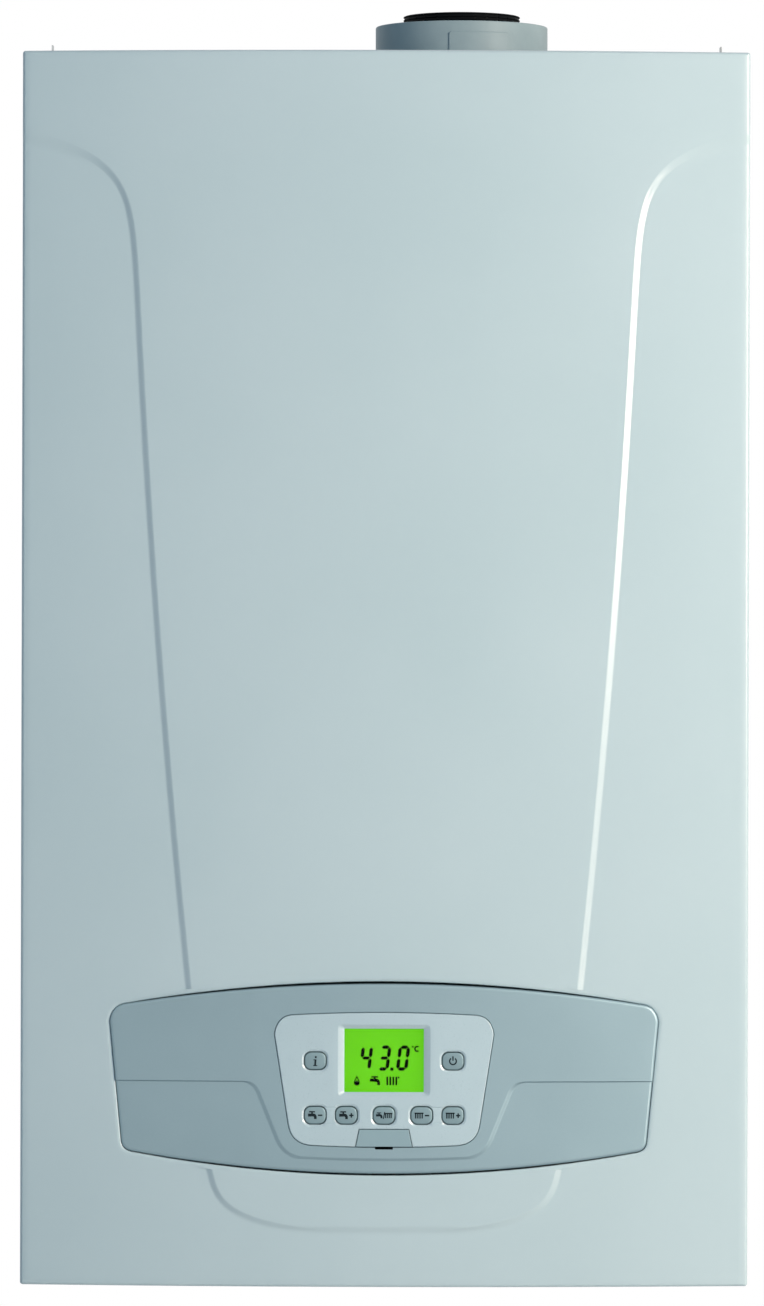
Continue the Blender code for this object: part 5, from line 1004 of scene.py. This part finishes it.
def makeFlue():
    # cast collar with a machined rim, a raised pad on its front and a ribbed rubber seal in its mouth
    # profile and ribs are (radius, height above the base) in millimetres
    x, y = 48.3 * mm, -150 * mm
    base, top = 381.8 * mm, 412.4 * mm
    profile = [
        (37.9, 0.0), (37.9, 28.6), (39.2, 30.5), (41.0, 30.6), (55.35, 30.6), (55.35, 9.2), (56.4, 5.4),
        (60.2, 4.0), (66.0, 4.0), (66.0, 0.0),
    ]
    points = roundedProfile([(r * mm, base + h * mm) for r, h in profile + profile[:1]], 0.8 * mm, 3)
    collar = turnedMesh(points[:-1], x, y)
    # the pad is drawn flat and wrapped round the collar
    width, height, radius = 39.5 * mm, 18 * mm, 55.35 * mm
    outline = roundedRectangle(width, height, 1.5 * mm, (0.0, top - 16.1 * mm))
    loops = [[(px, -2 * mm, pz) for px, pz in outline]]
    for k in range(4):
        angle = math.pi / 2 * k / 3
        ring = offsetLoop(outline, 0.5 * mm * (1 - math.cos(angle)))
        loops.append([(px, (0.3 + 0.5 * math.sin(angle)) * mm, pz) for px, pz in ring])
    drawn = bmesh.new()
    loftInto(drawn, loops)
    pad = meshFromBmesh(drawn)
    sliceAcross(pad, 2 * mm, 24 * mm)
    for vert in pad.vertices:
        turn = vert.co.x / radius + math.radians(11.5)
        out = radius + vert.co.y
        vert.co.x, vert.co.y = x + out * math.sin(turn), y - out * math.cos(turn)
    collar = cutMesh(collar, pad, "UNION")
    putPiece("flueCollar", collar, "collar", "root", ["flue_collar"], 30)

    ribs = [(37.5, 14.6), (37.5, 31.3)]
    for k in range(3):
        level = 31.7 + 2.0 * k
        ribs += [(36.6, level), (36.6, level + 0.7), (37.5, level + 1.1), (37.5, level + 1.6)]
    ribs += [(36.9, 37.6), (33.4, 37.6), (32.8, 36.5), (32.8, 14.6)]
    points = [(r * mm, base + h * mm) for r, h in ribs]
    ring = turnedMesh(roundedProfile(points + points[:1], 0.3 * mm, 2)[:-1], x, y)
    # short slits let the lips of the ring bend
    slits = bmesh.new()
    for k in range(28):
        turn = Matrix.Translation((x, y, base + 35 * mm)) @ Matrix.Rotation(math.tau * k / 28, 4, "Z")
        bmesh.ops.create_cube(slits, size=1.0, matrix=turn @ Matrix.Translation((37.4 * mm, 0, 0))
                              @ Matrix.Diagonal((1.6 * mm, 0.7 * mm, 6.4 * mm, 1.0)))
    ring = cutMesh(ring, meshFromBmesh(slits))
    putPiece("flueSealRing", ring, "rubber", "root", ["flue_seal_ring"], 40)


makeFlue()
print("flue made")

nodeFinish = {
    "casing": ("left_side_panel", "right_side_panel"),
    "zinc": ("top_panel", "bottom_plate", "rear_frame", "casing_screw_left", "casing_screw_right",
             "burner_tube", "plate_heat_exchanger"),
    "foam": ("casing_seal",), "white": ("flue_duct", "condensate_trap"), "enamel": ("expansion_vessel",),
    "alloy": ("heat_exchanger", "burner_door", "fan_housing", "gas_air_mixer", "gas_valve"),
    "ceramic": ("ignition_electrode", "sensing_electrode"),
    "black": ("fan_impeller", "fan_motor", "air_silencer", "pump_impeller", "pump_motor", "air_vent",
              "diverter_valve_motor", "filling_tap_knob"),
    "brass": ("flow_manifold", "return_manifold", "diverter_valve_stem", "safety_valve",
              "heating_flow_connector", "hot_water_connector", "gas_connector", "cold_water_connector",
              "heating_return_connector"),
    "grey": ("pump_housing",), "red": ("safety_valve_knob",), "rubber": ("expansion_hose",),
    "copper": ("flow_pipe", "return_pipe", "gas_pipe"), "glass": ("display_lens",),
    "screen": ("display_module",), "board": ("control_board",), "boxPlastic": ("control_box",),
}
for finishName, nodeNames in nodeFinish.items():
    for nodeName in nodeNames:
        data = nodes[nodeName].data
        data.materials.clear()
        data.materials.append(finish[finishName])
print("nodes dressed:", sum(len(nodeNames) for nodeNames in nodeFinish.values()))


def addLight(name, kind):
    # a soft rectangular panel that faces its target
    data = bpy.data.lights.new(name, "AREA")
    data.energy = stage[kind + "Power"]
    data.color = linearColour(stage["lightColour"])[:3]
    data.shape = "RECTANGLE"
    data.size, data.size_y = stage[kind + "Size"]
    lamp = newObject(name, data)
    lamp.location = stage[kind + "Place"]
    ahead = Vector(stage[kind + "Target"]) - Vector(stage[kind + "Place"])
    lamp.rotation_euler = ahead.to_track_quat("-Z", "Y").to_euler()


def seesBackground(tree):
    # one for what the camera sees directly, in gloss or through glass, none for soft light
    path = addNode(tree, "ShaderNodeLightPath")
    seen = path.outputs["Is Camera Ray"]
    for name in ("Is Glossy Ray", "Is Transmission Ray"):
        either = addNode(tree, "ShaderNodeMath", {"operation": "MAXIMUM"}, {0: seen, 1: path.outputs[name]})
        seen = either.outputs["Value"]
    return seen


stage = {
    "floorZ": -0.62, "floorLow": (-3.0, -4.0), "floorHigh": (3.0, 1.4), "floorGlow": 0.72,
    "skyColour": "#b1dbff", "skyFront": 0.544, "skyBack": 0.133,
    "lightColour": "#ffebd9", "keyPower": 66.5, "keyPlace": (1.77, -1.815, 0.62),
    "keyTarget": (0.0, -0.33, 0.0), "keySize": (0.9, 1.3),
    "stripPower": 10.0, "stripPlace": (1.6, -1.7, -0.8), "stripTarget": (0.0, -0.33, -0.2),
    "stripSize": (0.3, 0.8),
    "cameraPlace": (-1.97 * mm, -4.545, 9.6 * mm), "roll": -0.15, "lens": 188.0, "sensor": 36,
    "clipEnd": 50,
}


def makeStage():
    drawn = bmesh.new()
    corners = block(*stage["floorLow"], *stage["floorHigh"])
    drawn.faces.new([drawn.verts.new((x, y, stage["floorZ"])) for x, y in corners])
    mesh = plainMesh(drawn, "floor")
    material, tree, shader, _ = startMaterial("stagePaint", "#f4f5f5", 0.8)
    # the eye sees mostly even white, with the object's shadow faintly in it
    share = addNode(tree, "ShaderNodeMath", {"operation": "MULTIPLY"}, {
        0: seesBackground(tree), 1: stage["floorGlow"],
    })
    glow = addNode(tree, "ShaderNodeEmission", inputs={"Color": linearColour("#ffffff"), "Strength": 1.0})
    mix = addNode(tree, "ShaderNodeMixShader", inputs={0: share.outputs["Value"]})
    tree.links.new(shader.outputs["BSDF"], mix.inputs[1])
    tree.links.new(glow.outputs["Emission"], mix.inputs[2])
    output = next(node for node in tree.nodes if node.type == "OUTPUT_MATERIAL")
    tree.links.new(mix.outputs["Shader"], output.inputs["Surface"])
    mesh.materials.append(material)
    newObject("floor", mesh)

    # even white seen directly, in gloss and through glass; soft cool light for the rest, stronger in front
    world = bpy.data.worlds.new("studio")
    world.use_nodes = True
    tree = world.node_tree
    tree.nodes.clear()
    seen = addNode(tree, "ShaderNodeBackground", inputs={"Color": linearColour("#ffffff"), "Strength": 1.0})
    lit = addNode(tree, "ShaderNodeBackground", inputs={"Color": linearColour(stage["skyColour"])})
    sense = addNode(tree, "ShaderNodeTexCoord")
    split = addNode(tree, "ShaderNodeSeparateXYZ", inputs={"Vector": sense.outputs["Generated"]})
    fade = addNode(tree, "ShaderNodeMapRange", inputs={
        "Value": split.outputs["Y"], "From Min": 0.0, "From Max": -1.0,
        "To Min": stage["skyBack"], "To Max": stage["skyFront"],
    })
    tree.links.new(fade.outputs["Result"], lit.inputs["Strength"])
    mix = addNode(tree, "ShaderNodeMixShader", inputs={0: seesBackground(tree)})
    tree.links.new(lit.outputs["Background"], mix.inputs[1])
    tree.links.new(seen.outputs["Background"], mix.inputs[2])
    addNode(tree, "ShaderNodeOutputWorld", inputs={"Surface": mix.outputs["Shader"]})
    scene.world = world

    addLight("rightPanel", "key")
    # a narrow strip low on the right draws the bright line down the tongue and the ridge
    addLight("lowStrip", "strip")

    data = bpy.data.cameras.new("camera")
    data.sensor_width = stage["sensor"]
    data.lens = stage["lens"]
    data.clip_end = stage["clipEnd"]
    camera = newObject("camera", data)
    camera.location = stage["cameraPlace"]
    camera.rotation_euler = (math.pi / 2, math.radians(stage["roll"]), 0)
    scene.camera = camera


makeStage()
